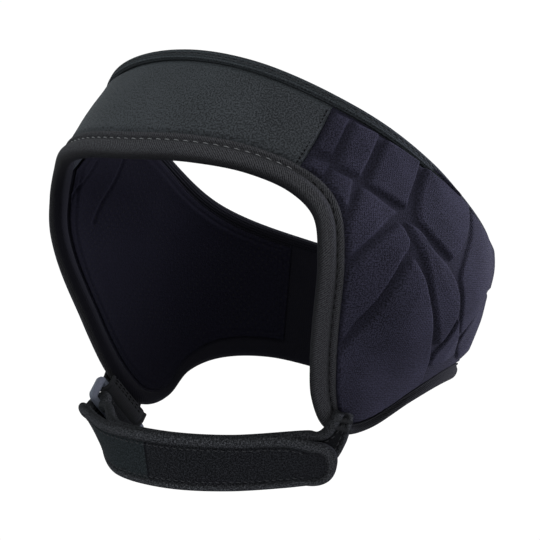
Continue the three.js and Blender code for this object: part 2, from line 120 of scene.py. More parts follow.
# Pattern plane: X is the angle times this many millimetres, Y is the height
PATTERN = 1.5
TO_PATTERN = np.array((PATTERN, 1))
RIM_TO_PATTERN = np.array((PATTERN, 1, 1, 1))

# Seams: the brow seam leans back as it rises, the back seam stands upright
BROW_SEAM_ANGLE = 49
BROW_SEAM_HEIGHT = 24
BROW_SEAM_LEAN = 0.345
BACK_SEAM_ANGLE = 142
BACK_ANGLE = 180
PAD_TIP_ANGLE = 64
PAD_TIP_BELOW = -60

# Point attributes: 1 on the inner face of a wall, which is painted dark there as shade, on the bound edge
# of the strap, and on crests, which keep full tone while the hollows are painted darker as shade
PAINTED_INNER_SHADE = "inside_painted_shade"
BOUND = "bound"
PAINTED_CREST_LIGHT = "painted_crest_light_and_hole_patches"

# Layers of the wall, outward from the head form
WALL_INSIDE = -3.2
WALL_EDGE = 1.3
WALL_OUTSIDE = 2.6

# Raised panels of the ear pad: rise, curved outline or straight, corners as angle and height
PANELS = [
    (2.4, False, [(48, 18.5), (53.5, 34), (58, 32), (52, 15.5)]),
    (2.6, False, [(54, 13), (59.5, 31), (68, 28), (60, 8.5)]),
    (2.8, False, [(62, 6), (70.5, 26), (79, 22.5), (83, 19), (75, -2)]),
    (1.9, False, [(45, 9), (46.5, 14.5), (52, 13), (49, 5)]),
    (1.9, False, [(50.5, 2), (52, 11), (58, 7), (56, -3), (54.5, -4)]),
    (2.1, False, [
        (54.5, -13), (58, -2), (60, 4.5), (62, 4), (71.5, -3.5), (68, -7), (59.5, -18), (56, -24),
    ]),
    (2.4, True, [
        (57, -30), (62, -18.5), (69, -10), (71.8, -8), (73.5, -12), (74, -16),
        (71, -22), (65.5, -38), (62.5, -46), (59.5, -56), (57.5, -44),
    ]),
    (2.8, True, [
        (60.5, -60), (64.5, -50.5), (68, -41), (71.5, -29), (74.8, -21), (78.5, -25), (83, -34),
        (87, -42), (91, -51.5), (97, -62), (99.5, -70), (93, -77), (84, -84), (74, -88), (64, -82),
        (60, -68),
    ]),
    (2.6, True, [
        (74, -7.5), (78, -10), (82, -16.5), (89, -22.5), (93, -27), (96, -32.5), (98, -38.5),
        (98, -45), (96.5, -53), (94.5, -52), (91.5, -46.5), (88, -40), (84, -32.5), (80, -22.5),
        (76.5, -14.5),
    ]),
    (3, False, [
        (86, 17.5), (91, 16), (98.5, 11), (103, 6.5), (103.5, 2.5), (102.5, -0.5), (99.5, -7), (97, -12),
        (94, -17.5), (90.5, -20.8), (85, -15.5), (83, -13.5), (78.5, -7), (78.5, -3.5),
    ]),
    (2.6, True, [
        (100.5, -42), (104.5, -47.5), (111, -54), (115, -58.5), (108, -61.5), (99.5, -63.5),
        (97.5, -58), (99, -53), (100, -47),
    ]),
    (1.8, True, [
        (106, 3.5), (113, -2), (122, -9), (132, -14), (138, -20), (137, -29), (126, -32), (118, -36),
        (112, -43), (108.5, -49), (104, -45), (101, -39), (98.5, -33), (95.5, -26), (97, -19),
        (100, -13), (102.5, -8), (105, -1),
    ]),
    (2.2, True, [
        (116, -43.5), (122, -38.5), (137, -33), (138, -48), (136, -61), (126, -62), (118, -58.5),
        (112.5, -51.5),
    ]),
]
PANEL_CURVE_STEPS = 6
# A panel's edges: widths of the step at leading and trailing edges, share of the rise that a trailing
# edge has, the way up from there, which way leads, and between which facings an edge turns to leading
LEAD_EDGE = 1.2
TRAIL_EDGE = 2
TRAIL_RISE = 0.62
CLIMB = 13
PANEL_LEAD = np.array((0.9, -0.44))
LEAD_FACING = (-0.3, 0.6)
SOFTEN_PASSES = 2
# Foam dome over the ear
SWELL_HEIGHT = 5
SWELL_ANGLE = 91
SWELL_LEVEL = -31
SWELL_ANGLE_SPAN = 35
SWELL_LEVEL_SPAN = 39


def smoothstep(x, low=0.0, high=1.0):
    """Cubic step from 0 at low to 1 at high."""
    t = np.clip((x - low) / (high - low), 0, 1)
    return t * t * (3 - 2 * t)


def bell(x, width):
    """Bell curve: the exponential of minus the square of x over its width."""
    return np.exp(-((x / width) ** 2))


def smooth_table(x, table):
    """Cubic through a table's rows, whose first column is x. The slope at a row is the mean of the
    secants on its two sides."""
    knots = table[:, 0]
    values = table[:, 1:]
    secants = np.diff(values, axis=0) / np.diff(knots)[:, None]
    slopes = np.vstack([secants[:1], (secants[:-1] + secants[1:]) / 2, secants[-1:]])
    i = np.clip(np.searchsorted(knots, x, side="right") - 1, 0, len(knots) - 2)
    span = (knots[i + 1] - knots[i])[..., None]
    t = (x - knots[i])[..., None] / span
    start = values[i] * (2 * t**3 - 3 * t**2 + 1) + slopes[i] * span * (t**3 - 2 * t**2 + t)
    end = values[i + 1] * (3 * t**2 - 2 * t**3) + slopes[i + 1] * span * (t**3 - t**2)
    return start + end


def head_point(angle, height):
    """Point of the head form: a superellipse round the head at each height, in polar form."""
    half, front, back, front_power = np.moveaxis(smooth_table(height, HEAD_SECTIONS), -1, 0)
    turn = np.radians(angle)
    faces = np.cos(turn) > 0
    power = np.where(faces, front_power, BACK_POWER)
    across = np.abs(np.sin(turn)) / half
    along = np.abs(np.cos(turn)) / np.where(faces, front, back)
    radius = (across**power + along**power) ** (-1 / power)
    return np.stack([radius * np.sin(turn), -radius * np.cos(turn), height + 0 * radius], axis=-1)


def head_slopes(angle, height):
    """Change of the head form for each degree round and for each millimetre up."""
    turn = head_point(angle + SLOPE_STEP, height) - head_point(angle - SLOPE_STEP, height)
    rise = head_point(angle, height + SLOPE_STEP) - head_point(angle, height - SLOPE_STEP)
    return turn / (2 * SLOPE_STEP), rise / (2 * SLOPE_STEP)


def unit(v):
    """Vectors divided by their lengths."""
    return v / np.linalg.norm(v, axis=-1, keepdims=True)


def outward(angle, height):
    """Unit normal of the head form, across its two slopes."""
    turn, rise = head_slopes(angle, height)
    return unit(np.cross(turn, rise))


def on_head(angle, height, offset):
    """Point of the head form moved out along its normal."""
    return head_point(angle, height) + outward(angle, height) * np.asarray(offset)[..., None]


def bent_round(plane, offset):
    """Points of the pattern plane bent round the head form, at an offset from it."""
    return on_head(plane[..., 0] / PATTERN, plane[..., 1], offset)


def catmull_rom(rows, steps, key=slice(None)):
    """Centripetal Catmull-Rom curve through rows, whose key columns set how long each span is."""
    p = np.vstack([2 * rows[0] - rows[1], rows, 2 * rows[-1] - rows[-2]])
    dt = np.linalg.norm(np.diff(p[:, key], axis=0), axis=1) ** 0.5
    p0, p1, p2, p3 = p[:-3, None], p[1:-2, None], p[2:-1, None], p[3:, None]
    d0, d1, d2 = (dt[i:len(dt) - 2 + i, None, None] for i in range(3))
    first = ((p1 - p0) / d0 - (p2 - p0) / (d0 + d1) + (p2 - p1) / d1) * d1
    second = ((p2 - p1) / d1 - (p3 - p1) / (d1 + d2) + (p3 - p2) / d2) * d1
    t = np.linspace(0, 1, steps, endpoint=False)[None, :, None]
    start = p1 * (2 * t**3 - 3 * t**2 + 1) + first * (t**3 - 2 * t**2 + t)
    end = p2 * (3 * t**2 - 2 * t**3) + second * (t**3 - t**2)
    return np.vstack([(start + end).reshape(-1, rows.shape[1]), rows[-1:]])


def closed_curve(points, steps):
    """Smooth closed curve through points, with its first point again at the end."""
    whole = np.vstack([points[-2:], points, points[:2]])
    return catmull_rom(whole, steps)[2 * steps:-steps]


def run_length(points):
    """Distance along a line of points, from 0 at its first."""
    return np.concatenate([[0], np.cumsum(np.linalg.norm(np.diff(points, axis=0), axis=1))])


def rows_at(places, length, rows):
    """Rows of a line at given distances along it, each column straight between its rows."""
    return np.column_stack([np.interp(places, length, column) for column in rows.T])


def resample(rows, count, key=slice(None)):
    """The same line with count equal spans, measured along its key columns."""
    length = run_length(rows[:, key])
    return rows_at(np.linspace(0, length[-1], count + 1), length, rows)


# Rims

def whole_rim(rows):
    """Both halves of a rim as one closed line from the back round the brow to the back again, with
    its angle, height, tape, flange, and the step in angle and height that is 1 mm into the cloth."""
    mirrored = rows[:0:-1] * MIRROR_ROW
    before = rows[1:-1] - FULL_TURN_ROW
    beyond = rows[-2:0:-1] * MIRROR_ROW + FULL_TURN_ROW
    table = np.vstack([before, mirrored, rows, beyond]) * RIM_TO_PATTERN
    line = catmull_rom(table, RIM_SPAN_STEPS, PLACE)
    first = RIM_SPAN_STEPS * len(before)
    line = line[first:first + RIM_SPAN_STEPS * (2 * len(rows) - 2) + 1]
    count = round(run_length(line[:, PLACE])[-1] / RIM_STEP)
    line = resample(line, count, PLACE) / RIM_TO_PATTERN
    turn, rise = head_slopes(line[:, ANGLE], line[:, HEIGHT])
    scale = np.stack([np.linalg.norm(turn, axis=1), np.linalg.norm(rise, axis=1)], axis=1)
    ring = np.vstack([line[-2] - FULL_TURN_ROW, line, line[1] + FULL_TURN_ROW])
    travel = unit(np.gradient(ring[:, PLACE], axis=0)[1:-1] * scale)
    inward = np.stack([-travel[:, 1], travel[:, 0]], axis=1) / scale
    return np.hstack([line, inward])


def inset(rim, depth):
    """Places at a depth into the cloth from the rim, as angle and height."""
    return rim[:, PLACE] + rim[:, INWARD] * np.reshape(depth, (-1, 1))


lower_rim = whole_rim(LOWER_RIM)
top_rim = whole_rim(TOP_RIM)
top_rim[:, INWARD] *= -1


def brow_seam(height):
    """Angle of the left brow seam at a height."""
    return BROW_SEAM_ANGLE + BROW_SEAM_LEAN * (height - BROW_SEAM_HEIGHT)


def right_brow_seam(height):
    """Angle of the right brow seam, the left one mirrored."""
    return -brow_seam(height)


def back_seam(height):
    """Angle of the left back seam, the same at every height."""
    return BACK_SEAM_ANGLE + 0 * height


def right_back_seam(height):
    """Angle of the right back seam, counted on round the back."""
    return 2 * BACK_ANGLE - back_seam(height)


def unrolled(rim, first):
    """A closed rim cut at an angle, so that its angles rise from there all the way round."""
    line = rim[:-1]
    kept = line[line[:, ANGLE] >= first]
    moved = line[line[:, ANGLE] < first]
    return np.vstack([kept, np.vstack([moved, kept[:1]]) + np.pad(FULL_TURN_ROW, (0, 2))])


def between(rim, depth, first, last, cut):
    """Stretch of the line at a depth past a rim's tape, from one seam exactly to the next. A seam is
    a function that gives its angle at a height."""
    line = unrolled(rim, cut)
    line = inset(line, line[:, TAPE] + depth)
    before = line[:, ANGLE] - first(line[:, HEIGHT])
    after = last(line[:, HEIGHT]) - line[:, ANGLE]
    rows = np.flatnonzero((before > 0) & (after > 0))
    i, j = rows[0], rows[-1]
    head = before[i] / (before[i] - before[i - 1])
    tail = after[j] / (after[j] - after[j + 1])
    ends = (line[i] + (line[i - 1] - line[i]) * head, line[j] + (line[j + 1] - line[j]) * tail)
    return np.vstack([ends[0], line[i:j + 1], ends[1]])


# Meshes

def grid_faces(rows, columns, wrap_rows=False, wrap_columns=False):
    """Quads of a grid of points counted row by row, with either way closed on itself."""
    i = np.arange(rows if wrap_rows else rows - 1)
    j = np.arange(columns if wrap_columns else columns - 1)
    i, j = np.meshgrid(i, j, indexing="ij")
    ni = (i + 1) % rows
    nj = (j + 1) % columns
    quads = np.stack([i * columns + j, i * columns + nj, ni * columns + nj, ni * columns + j], axis=-1)
    return quads.reshape(-1, 4)


def add_piece(name, points, faces, material, slot, uv=None):
    """Mesh object from points in millimetres and a list of face arrays of like size, smooth shaded.
    It takes a UV for each point, in millimetres too, and rides on the one body."""
    mesh = bpy.data.meshes.new(name)
    corners = np.concatenate([group.ravel() for group in faces]).astype(np.int32)
    sizes = np.concatenate([np.full(len(group), group.shape[1]) for group in faces])
    points = points.reshape(-1, 3)
    mesh.vertices.add(len(points))
    mesh.vertices.foreach_set("co", (points * MM).astype(np.float32).ravel())
    mesh.loops.add(len(corners))
    mesh.loops.foreach_set("vertex_index", corners)
    mesh.polygons.add(len(sizes))
    starts = np.concatenate([[0], np.cumsum(sizes)[:-1]]).astype(np.int32)
    mesh.polygons.foreach_set("loop_start", starts)
    mesh.polygons.foreach_set("use_smooth", np.ones(len(sizes), dtype=bool))
    mesh.update(calc_edges=True)
    if uv is not None:
        layer = mesh.uv_layers.new(name="cloth")
        layer.data.foreach_set("uv", uv.reshape(-1, 2)[corners].astype(np.float32).ravel())
    mesh.materials.append(material)
    piece = bpy.data.objects.new(name, mesh)
    bpy.context.scene.collection.objects.link(piece)
    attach(piece, "root")
    return piece


def mark(piece, name, values):
    """Attribute with one number for each point of a piece, and 0 past the last one given."""
    numbers = np.zeros(len(piece.data.vertices), dtype=np.float32)
    numbers[:np.size(values)] = np.ravel(values)
    attribute = piece.data.attributes.new(name, "FLOAT", "POINT")
    attribute.data.foreach_set("value", numbers)


def coons(bottom, top, left, right):
    """Patch between four edges of points: its two rulings added, less the patch of its corners."""
    v = np.linspace(0, 1, len(left))[:, None, None]
    u = np.linspace(0, 1, len(bottom))[None, :, None]
    upright = (1 - v) * bottom[None] + v * top[None]
    level = (1 - u) * left[:, None] + u * right[:, None]
    lower = (1 - u) * bottom[0] + u * bottom[-1]
    upper = (1 - u) * top[0] + u * top[-1]
    return upright + level - ((1 - v) * lower + v * upper)


def border(rows, columns):
    """Numbers of a grid's border points, once round from its first."""
    grid = np.arange(rows * columns).reshape(rows, columns)
    return np.concatenate([grid[0, :-1], grid[:-1, -1], grid[-1, :0:-1], grid[:0:-1, 0]])


def wall_piece(name, outer, inner, stride, plane, material, slot):
    """Closed wall: a fine outer grid, an inner grid of every stride-th point, and a rim of faces
    that join stride outer edges to one inner edge. Its UV is the pattern plane."""
    rows, columns = outer.shape[:2]
    few_rows, few_columns = inner.shape[:2]
    first_inner = rows * columns
    outer_ring = border(rows, columns)
    inner_ring = border(few_rows, few_columns) + first_inner
    steps = np.arange(stride, -1, -1)
    near = outer_ring[(np.arange(len(inner_ring))[:, None] * stride + steps) % len(outer_ring)]
    far = np.stack([inner_ring, np.roll(inner_ring, -1)], axis=1)
    faces = [
        grid_faces(rows, columns),
        grid_faces(few_rows, few_columns)[:, ::-1] + first_inner,
        np.hstack([near, far]),
    ]
    points = np.vstack([outer.reshape(-1, 3), inner.reshape(-1, 3)])
    uv = np.vstack([plane.reshape(-1, 2), plane[::stride, ::stride].reshape(-1, 2)])
    piece = add_piece(name, points, faces, material, slot, uv)
    # The inner face is marked for its painted shade
    mark(piece, PAINTED_INNER_SHADE, np.arange(len(points)) >= first_inner)
    return piece


def wall_pair(name, outer, inner, stride, plane, reversed_hand, material, slot):
    """The same wall on the left and, mirrored, on the right. One of them has its columns reversed, so
    that its faces point out. Gives the node, the order of the columns and the piece for each."""
    for hand, side in (("left", 1), ("right", -1)):
        mirror = np.array((side, 1, 1))
        order = slice(None, None, -1 if hand == reversed_hand else 1)
        grids = ((outer * mirror)[:, order], (inner * mirror)[:, order])
        node = f"{name}_{hand}"
        piece = wall_piece(f"{node}_cloth", *grids, stride, plane[:, order], material, slot)
        yield node, order, piece


# Distances in the pattern plane

def span_distance(points, a, b):
    """Distance of each point to the straight span from a to b, by its nearest place t along it."""
    ab = b - a
    t = np.clip(((points - a) @ ab) / (ab @ ab), 0, 1)
    return np.linalg.norm(points - a - t[:, None] * ab, axis=1)


def line_distance(plane, line):
    """Distance of each point of a grid to a line of points, by the nearest of its spans."""
    points = plane.reshape(-1, 2)
    best = np.full(len(points), np.inf)
    for a, b in zip(line[:-1], line[1:]):
        best = np.minimum(best, span_distance(points, a, b))
    return best.reshape(plane.shape[:-1])


def tape_distance(plane, line, stride, share):
    """Distance to the line at a share of the flange past a rim's tape, by every stride-th row."""
    line = line[::stride]
    return line_distance(plane, inset(line, line[:, TAPE] + share * line[:, FLANGE]) * TO_PATTERN)


def panel_outline(curved, corners):
    """Outline in the pattern plane: straight from corner to corner, or one smooth closed curve."""
    points = np.array(corners) * TO_PATTERN
    if curved:
        return closed_curve(points, PANEL_CURVE_STEPS)
    return np.vstack([points, points[:1]])


def panel_relief(plane):
    """Height of the raised panels. Inside an outline every edge lifts the cloth by a short round
    step, lower at the trailing edges, and from those the panel climbs gently to its full rise."""
    relief = np.zeros(plane.shape[:-1])
    for rise, curved, corners in PANELS:
        line = panel_outline(curved, corners)
        box = np.all((plane > line.min(axis=0)) & (plane < line.max(axis=0)), axis=-1)
        near = plane[box]
        lift = np.ones(len(near))
        climb = np.ones(len(near))
        crossings = np.zeros(len(near), dtype=int)
        area = np.sum(line[:-1, 0] * line[1:, 1] - line[1:, 0] * line[:-1, 1])
        for a, b in zip(line[:-1], line[1:]):
            ab = b - a
            away = span_distance(near, a, b)
            facing = unit(np.array((ab[1], -ab[0]))) * np.sign(area)
            lead = smoothstep(facing @ PANEL_LEAD, *LEAD_FACING)
            share = np.clip(away / (TRAIL_EDGE + (LEAD_EDGE - TRAIL_EDGE) * lead), 0, 1)
            lift = np.minimum(lift, np.sqrt(1 - (1 - share) ** 2))
            short = (1 - lead) * (1 - TRAIL_RISE) * (1 - smoothstep(away, 0, CLIMB))
            climb = np.minimum(climb, 1 - short)
            spans = (a[1] > near[:, 1]) != (b[1] > near[:, 1])
            slope = (near[:, 1] - a[1]) / (b[1] - a[1] if b[1] != a[1] else 1)
            crossings += spans & (near[:, 0] < a[0] + slope * ab[0])
        relief[box] += np.where(crossings % 2 == 1, rise * lift * climb, 0)
    return relief


def softened(grid):
    """Numbers on a grid, each drawn a few times towards the mean of its four neighbours."""
    for _ in range(SOFTEN_PASSES):
        wide = np.pad(grid, 1, mode="edge")
        beside = wide[:-2, 1:-1] + wide[2:, 1:-1] + wide[1:-1, :-2] + wide[1:-1, 2:]
        grid = (grid + beside / 4) / 2
    return grid


def pad_swell(angle, height):
    """Foam over the ear: a smooth dome inside an ellipse."""
    across = (angle - SWELL_ANGLE) / SWELL_ANGLE_SPAN
    up = (height - SWELL_LEVEL) / SWELL_LEVEL_SPAN
    return SWELL_HEIGHT * smoothstep(1 - across**2 - up**2)


# Ear pads

PAD_COLUMNS = 300
PAD_ROWS = 270
PAD_STRIDE = 6
PAD_RIM_STRIDE = 4
PAD_LOWER_FROM = 20
PAD_TOP_FROM = 30
UNDER_TAPE = -1.5
SEAM_STEPS = 40
# Angles between which the flange narrows, and distances from it between which the wall and the panels
# rise to their full height, each with what it loses at the narrow flange. At the rear, between two
# angles, the panels' way up grows longer.
NARROW_ANGLES = (58, 74)
PAD_LIP = ((1.2, 0.6), (3.4, 1.8))
PANEL_FADE = ((2, 1), (3.4, 1.2))
REAR_FADE = 6
REAR_FADE_ANGLES = (108, 122)
# The same from the upper tape and from the seams
PAD_TOP_LIP = (0.3, 2.6)
PANEL_TOP_FADE = (0.2, 1.6)
PAD_SEAM_REACH = 2.2
PAD_SEAM_LEAST = 0.35
# Relief between whose heights the panels' painted shade in the hollows gives way to their full tone
HOLLOW_SHADE_RELIEF = (0.2, 1.8)
# Fullness under the upper tape: rise, reach, and angles between which it comes and goes
CROWN_RISE = 1.6
CROWN_REACH = 16
CROWN_COMES = (66, 92)
CROWN_GOES = (126, 140)


def ear_edges(depth, columns, rows):
    """Edges of the left ear's patch at a depth past the tapes, in the pattern plane: lower, upper,
    front and back. The front edge runs up the face opening and on up the brow seam."""
    low = between(lower_rim, depth, brow_seam, back_seam, CUT_AT_RIGHT)
    top = between(top_rim, depth, brow_seam, back_seam, CUT_AT_RIGHT)
    tip = np.argmax((low[:, ANGLE] > PAD_TIP_ANGLE) & (low[:, HEIGHT] < PAD_TIP_BELOW))
    front = np.vstack([low[tip::-1], resample(np.vstack([low[0], top[0]]), SEAM_STEPS)[1:]])
    back = np.vstack([low[-1], top[-1]])
    edges = ((low[tip:], columns), (top, columns), (front, rows), (back, rows))
    return [resample(line * TO_PATTERN, count) for line, count in edges]


def stretch(rim, first, last):
    """Rows of a rim between two angles."""
    return rim[(rim[:, ANGLE] > first) & (rim[:, ANGLE] < last)]


def narrowed(limits, narrow):
    """Limits of a step, each less by its own amount where the flange is narrow."""
    return [wide - less * narrow for wide, less in limits]


def make_pads(material):
    """Ear pads: the wall rises from under the tapes by smooth steps of the distance to them, and
    carries the foam's dome, the raised panels and a fullness under the upper tape."""
    plane = coons(*ear_edges(UNDER_TAPE, PAD_COLUMNS, PAD_ROWS))
    height = plane[..., 1]
    angle = plane[..., 0] / PATTERN
    low_line = stretch(lower_rim, PAD_LOWER_FROM, BACK_SEAM_ANGLE)
    top_line = stretch(top_rim, PAD_TOP_FROM, BACK_SEAM_ANGLE)
    edge = tape_distance(plane, low_line, PAD_RIM_STRIDE, FLANGE_MIDDLE)
    top_edge = tape_distance(plane, top_line, PAD_RIM_STRIDE, TAPE_END)
    seam_edge = np.minimum(
        np.abs(plane[..., 0] - brow_seam(height) * PATTERN),
        np.abs(plane[..., 0] - BACK_SEAM_ANGLE * PATTERN),
    )
    narrow = smoothstep(angle, *NARROW_ANGLES)
    lip = smoothstep(edge, *narrowed(PAD_LIP, narrow)) * smoothstep(top_edge, *PAD_TOP_LIP)
    seam = PAD_SEAM_LEAST + (1 - PAD_SEAM_LEAST) * smoothstep(seam_edge, 0, PAD_SEAM_REACH)
    fade_from, fade_to = narrowed(PANEL_FADE, narrow)
    fade_to = fade_to + REAR_FADE * smoothstep(angle, *REAR_FADE_ANGLES)
    fade = smoothstep(edge, fade_from, fade_to) * smoothstep(top_edge, *PANEL_TOP_FADE)
    relief = softened(panel_relief(plane)) * fade
    crown = smoothstep(angle, *CROWN_COMES) * (1 - smoothstep(angle, *CROWN_GOES))
    swell = pad_swell(angle, height) + CROWN_RISE * crown * bell(top_edge, CROWN_REACH)
    offset = WALL_EDGE + (WALL_OUTSIDE - WALL_EDGE) * lip * seam + relief + swell * lip
    outer = bent_round(plane, offset)
    inner = bent_round(plane[::PAD_STRIDE, ::PAD_STRIDE], WALL_INSIDE)
    # Painted shade: the hollows between the raised panels are coloured darker
    crest = smoothstep(relief, *HOLLOW_SHADE_RELIEF)
    pads = wall_pair("ear_pad", outer, inner, PAD_STRIDE, plane, "right", material, "pad_cloth")
    for node, order, pad in pads:
        mark(pad, PAINTED_CREST_LIGHT, crest[:, order])
        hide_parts(node)


# Forehead panel and back band

BAND_RIM_STRIDE = 5
BAND_TOP_LIP = (0.2, 3)
BAND_FULLNESS = 0.9
BROW_COLUMNS = 330
BROW_ROWS = 90
BROW_STRIDE = 6
BROW_LIP = (1.2, 3.6)
BROW_FULL = (1, 14)
BROW_STEP = 0.5
BROW_FOLD = 0.9
BROW_FOLD_LEAST = 0.3
BACK_COLUMNS = 240
BACK_ROWS = 96
BACK_STRIDE = 2
BACK_LIP = (0.8, 3.2)
BACK_FULL = (0.5, 12)
BACK_FOLD = (-0.6, 2)
BACK_INSIDE_FULLNESS = 1.2
# Creases inside the back band: angle, lean, depth and width, and the height at which the angle holds
BACK_MIDDLE = -48
BACK_CREASES = [
    (157, 0.1, 1.1, 2.2),
    (164, -0.15, 1.5, 3),
    (172, 0.12, 0.8, 2),
    (188, -0.1, 0.8, 2.2),
    (197, 0.15, 1.3, 3),
    (204, -0.1, 1.0, 2.4),
]


def band_plane(first, last, cut, columns, rows):
    """Stretch of wall between two seams as a patch of the pattern plane, with the distances of its
    points to the lower tape's flange and to the upper tape."""
    low = between(lower_rim, UNDER_TAPE, first, last, cut)
    top = between(top_rim, UNDER_TAPE, first, last, cut)
    sides = [np.vstack([low[end], top[end]]) for end in (0, -1)]
    edges = ((low, columns), (top, columns), (sides[0], rows), (sides[1], rows))
    plane = coons(*(resample(line * TO_PATTERN, count) for line, count in edges))
    edge = tape_distance(plane, unrolled(lower_rim, cut), BAND_RIM_STRIDE, FLANGE_MIDDLE)
    top_edge = tape_distance(plane, unrolled(top_rim, cut), BAND_RIM_STRIDE, TAPE_END)
    return plane, edge, top_edge


def make_brow(material):
    """Forehead panel: foam under smooth cloth, a little full between its tapes, with its ends turned
    under at the seams, all by smooth steps of the distances to tapes and seams."""
    plane, edge, top_edge = band_plane(right_brow_seam, brow_seam, CUT_AT_RIGHT, BROW_COLUMNS, BROW_ROWS)
    seam_edge = brow_seam(plane[..., 1]) * PATTERN - np.abs(plane[..., 0])
    lip = smoothstep(edge, *BROW_LIP) * smoothstep(top_edge, *BAND_TOP_LIP)
    full = smoothstep(np.minimum(edge, top_edge), *BROW_FULL)
    fold = BROW_FOLD_LEAST + (1 - BROW_FOLD_LEAST) * smoothstep(seam_edge, 0, BROW_FOLD)
    offset = WALL_EDGE + (WALL_OUTSIDE - WALL_EDGE + BROW_STEP) * lip * fold + BAND_FULLNESS * full
    outer = bent_round(plane, offset)
    inner = bent_round(plane[::BROW_STRIDE, ::BROW_STRIDE], WALL_INSIDE)
    brow = wall_piece("forehead_cloth", outer, inner, BROW_STRIDE, plane, material, "brow_cloth")
    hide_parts("forehead_panel")


def make_back(material):
    """Back band: a plain padded wall that rises by smooth steps from tapes and seams, and whose
    inside creases in bell curves where it bends round the head."""
    plane, edge, top_edge = band_plane(back_seam, right_back_seam, CUT_AT_BROW, BACK_COLUMNS, BACK_ROWS)
    seam_edge = (BACK_ANGLE - BACK_SEAM_ANGLE) * PATTERN - np.abs(plane[..., 0] - BACK_ANGLE * PATTERN)
    lip = smoothstep(edge, *BACK_LIP) * smoothstep(top_edge, *BAND_TOP_LIP)
    full = smoothstep(np.minimum(np.minimum(edge, top_edge), seam_edge), *BACK_FULL)
    fold = smoothstep(seam_edge, *BACK_FOLD)
    offset = WALL_EDGE + (WALL_OUTSIDE - WALL_EDGE) * lip * fold + BAND_FULLNESS * full
    outer = bent_round(plane, offset)
    few = plane[::BACK_STRIDE, ::BACK_STRIDE]
    crease = np.zeros(few.shape[:2])
    for place, lean, depth, width in BACK_CREASES:
        middle = place * PATTERN + lean * (few[..., 1] - BACK_MIDDLE)
        crease += depth * bell(few[..., 0] - middle, width)
    fullness = (BACK_INSIDE_FULLNESS - crease) * full[::BACK_STRIDE, ::BACK_STRIDE]
    inner = bent_round(few, WALL_INSIDE - fullness)
    back = wall_piece("back_band_cloth", outer, inner, BACK_STRIDE, plane, material, "pad_cloth")
    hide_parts("back_band")


# Linings

LINING_COLUMNS = 168
LINING_ROWS = 150
LINING_STRIDE = 3
LINING_EDGE_STRIDE = 3
LINING_REACH = 0.8
LINING_OUTSIDE = -3.9
LINING_THICKNESS = 0.3
# Fullness inside the sewn edge: distances from the edge between which it grows, and how much
LINING_FULL = ((0, 3, 1.1), (3, 22, 0.7))
# Sewn row along the edge, and seams in front of the ear, each from its upper end to its lower end
LINING_ROW = 2.6
LINING_ROW_DEPTH = 0.6
LINING_SEAM_DEPTH = 0.7
LINING_CREASE = 0.9
LINING_SEAMS = [((67.5, 17), (66.5, 3), (63.5, -15.5)), ((52.8, 13), (52.2, -7))]


def make_linings(material):
    """Lining of each ear pad: a soft sheet that is drawn tight along its sewn edge and stands a
    little full inside it, with a bell-shaped crease along each sewn row."""
    edges = ear_edges(LINING_REACH, LINING_COLUMNS, LINING_ROWS)
    plane = coons(*edges)
    edge = np.min([line_distance(plane, line[::LINING_EDGE_STRIDE]) for line in edges], axis=0)
    full = sum(smoothstep(edge, start, end) * height for start, end, height in LINING_FULL)
    crease = LINING_ROW_DEPTH * bell(edge - LINING_ROW, LINING_CREASE)
    for seam in LINING_SEAMS:
        away = line_distance(plane, np.array(seam) * TO_PATTERN)
        crease += LINING_SEAM_DEPTH * bell(away, LINING_CREASE)
    shown = bent_round(plane, LINING_OUTSIDE - LINING_THICKNESS - full + crease)
    hidden = bent_round(plane[::LINING_STRIDE, ::LINING_STRIDE], LINING_OUTSIDE)
    linings = wall_pair(
        "ear_lining", shown, hidden, LINING_STRIDE, plane, "left", material, "lining_cloth")
    for node, _, lining in linings:
        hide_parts(node)


# Tapes

# Section of each tape: shares of its width and of its flange, and the offset from the head form
LOWER_TAPE_SECTION = np.array([
    (1, 0, -2.9),
    (0.5, 0, -3.6),
    (0.15, 0, -2.8),
    (0, 0, 0),
    (0.15, 0, 2.8),
    (0.45, 0, 3.8),
    (0.8, 0, 3.5),
    (0.97, 0, 2.5),
    (1, 0.16, 2.3),
    (1, 0.5, 3.4),
    (1, 0.85, 3.2),
    (1, 1, 2.3),
    (1, 0.8, 1.7),
    (1, 0, 1.4),
    (1, 0, -1),
])
TOP_TAPE_SECTION = np.array([
    (1, 0, -2.8),
    (0.5, 0, -3.5),
    (0.14, 0, -2.6),
    (0, 0, 0),
    (0.14, 0, 2.4),
    (0.36, 0, 3.3),
    (0.54, 0, 3),
    (0.74, 0, 3.4),
    (0.98, 0, 2.8),
    (1.02, 0, 1.6),
    (1, 0, -1),
])
# Millimetres that the shares stand for while the section's curve is drawn
SECTION_SCALE = np.array((9, 3.2, 1))
TAPE_SECTION_STEPS = 4
TAPE_FOLD = 3 * TAPE_SECTION_STEPS
FLANGE_FOOT = 2.3
FLANGE_FULL = 3.5
FLANGE_RISE = (0.05, 0.3)
# Offsets between which the tape turns to its inner side, which is painted dark as shade, and between
# which its outer crest is painted lighter as highlight
TAPE_INSIDE = (-0.8, 0.8)
TAPE_CREST = (1, 3.6)
# Angles between which the tape's painted crest highlight falls to its least share, so the tape is darker
# past them
CREST_LIGHT_ANGLES = (60, 84)
CREST_LIGHT_LEAST = 0.1


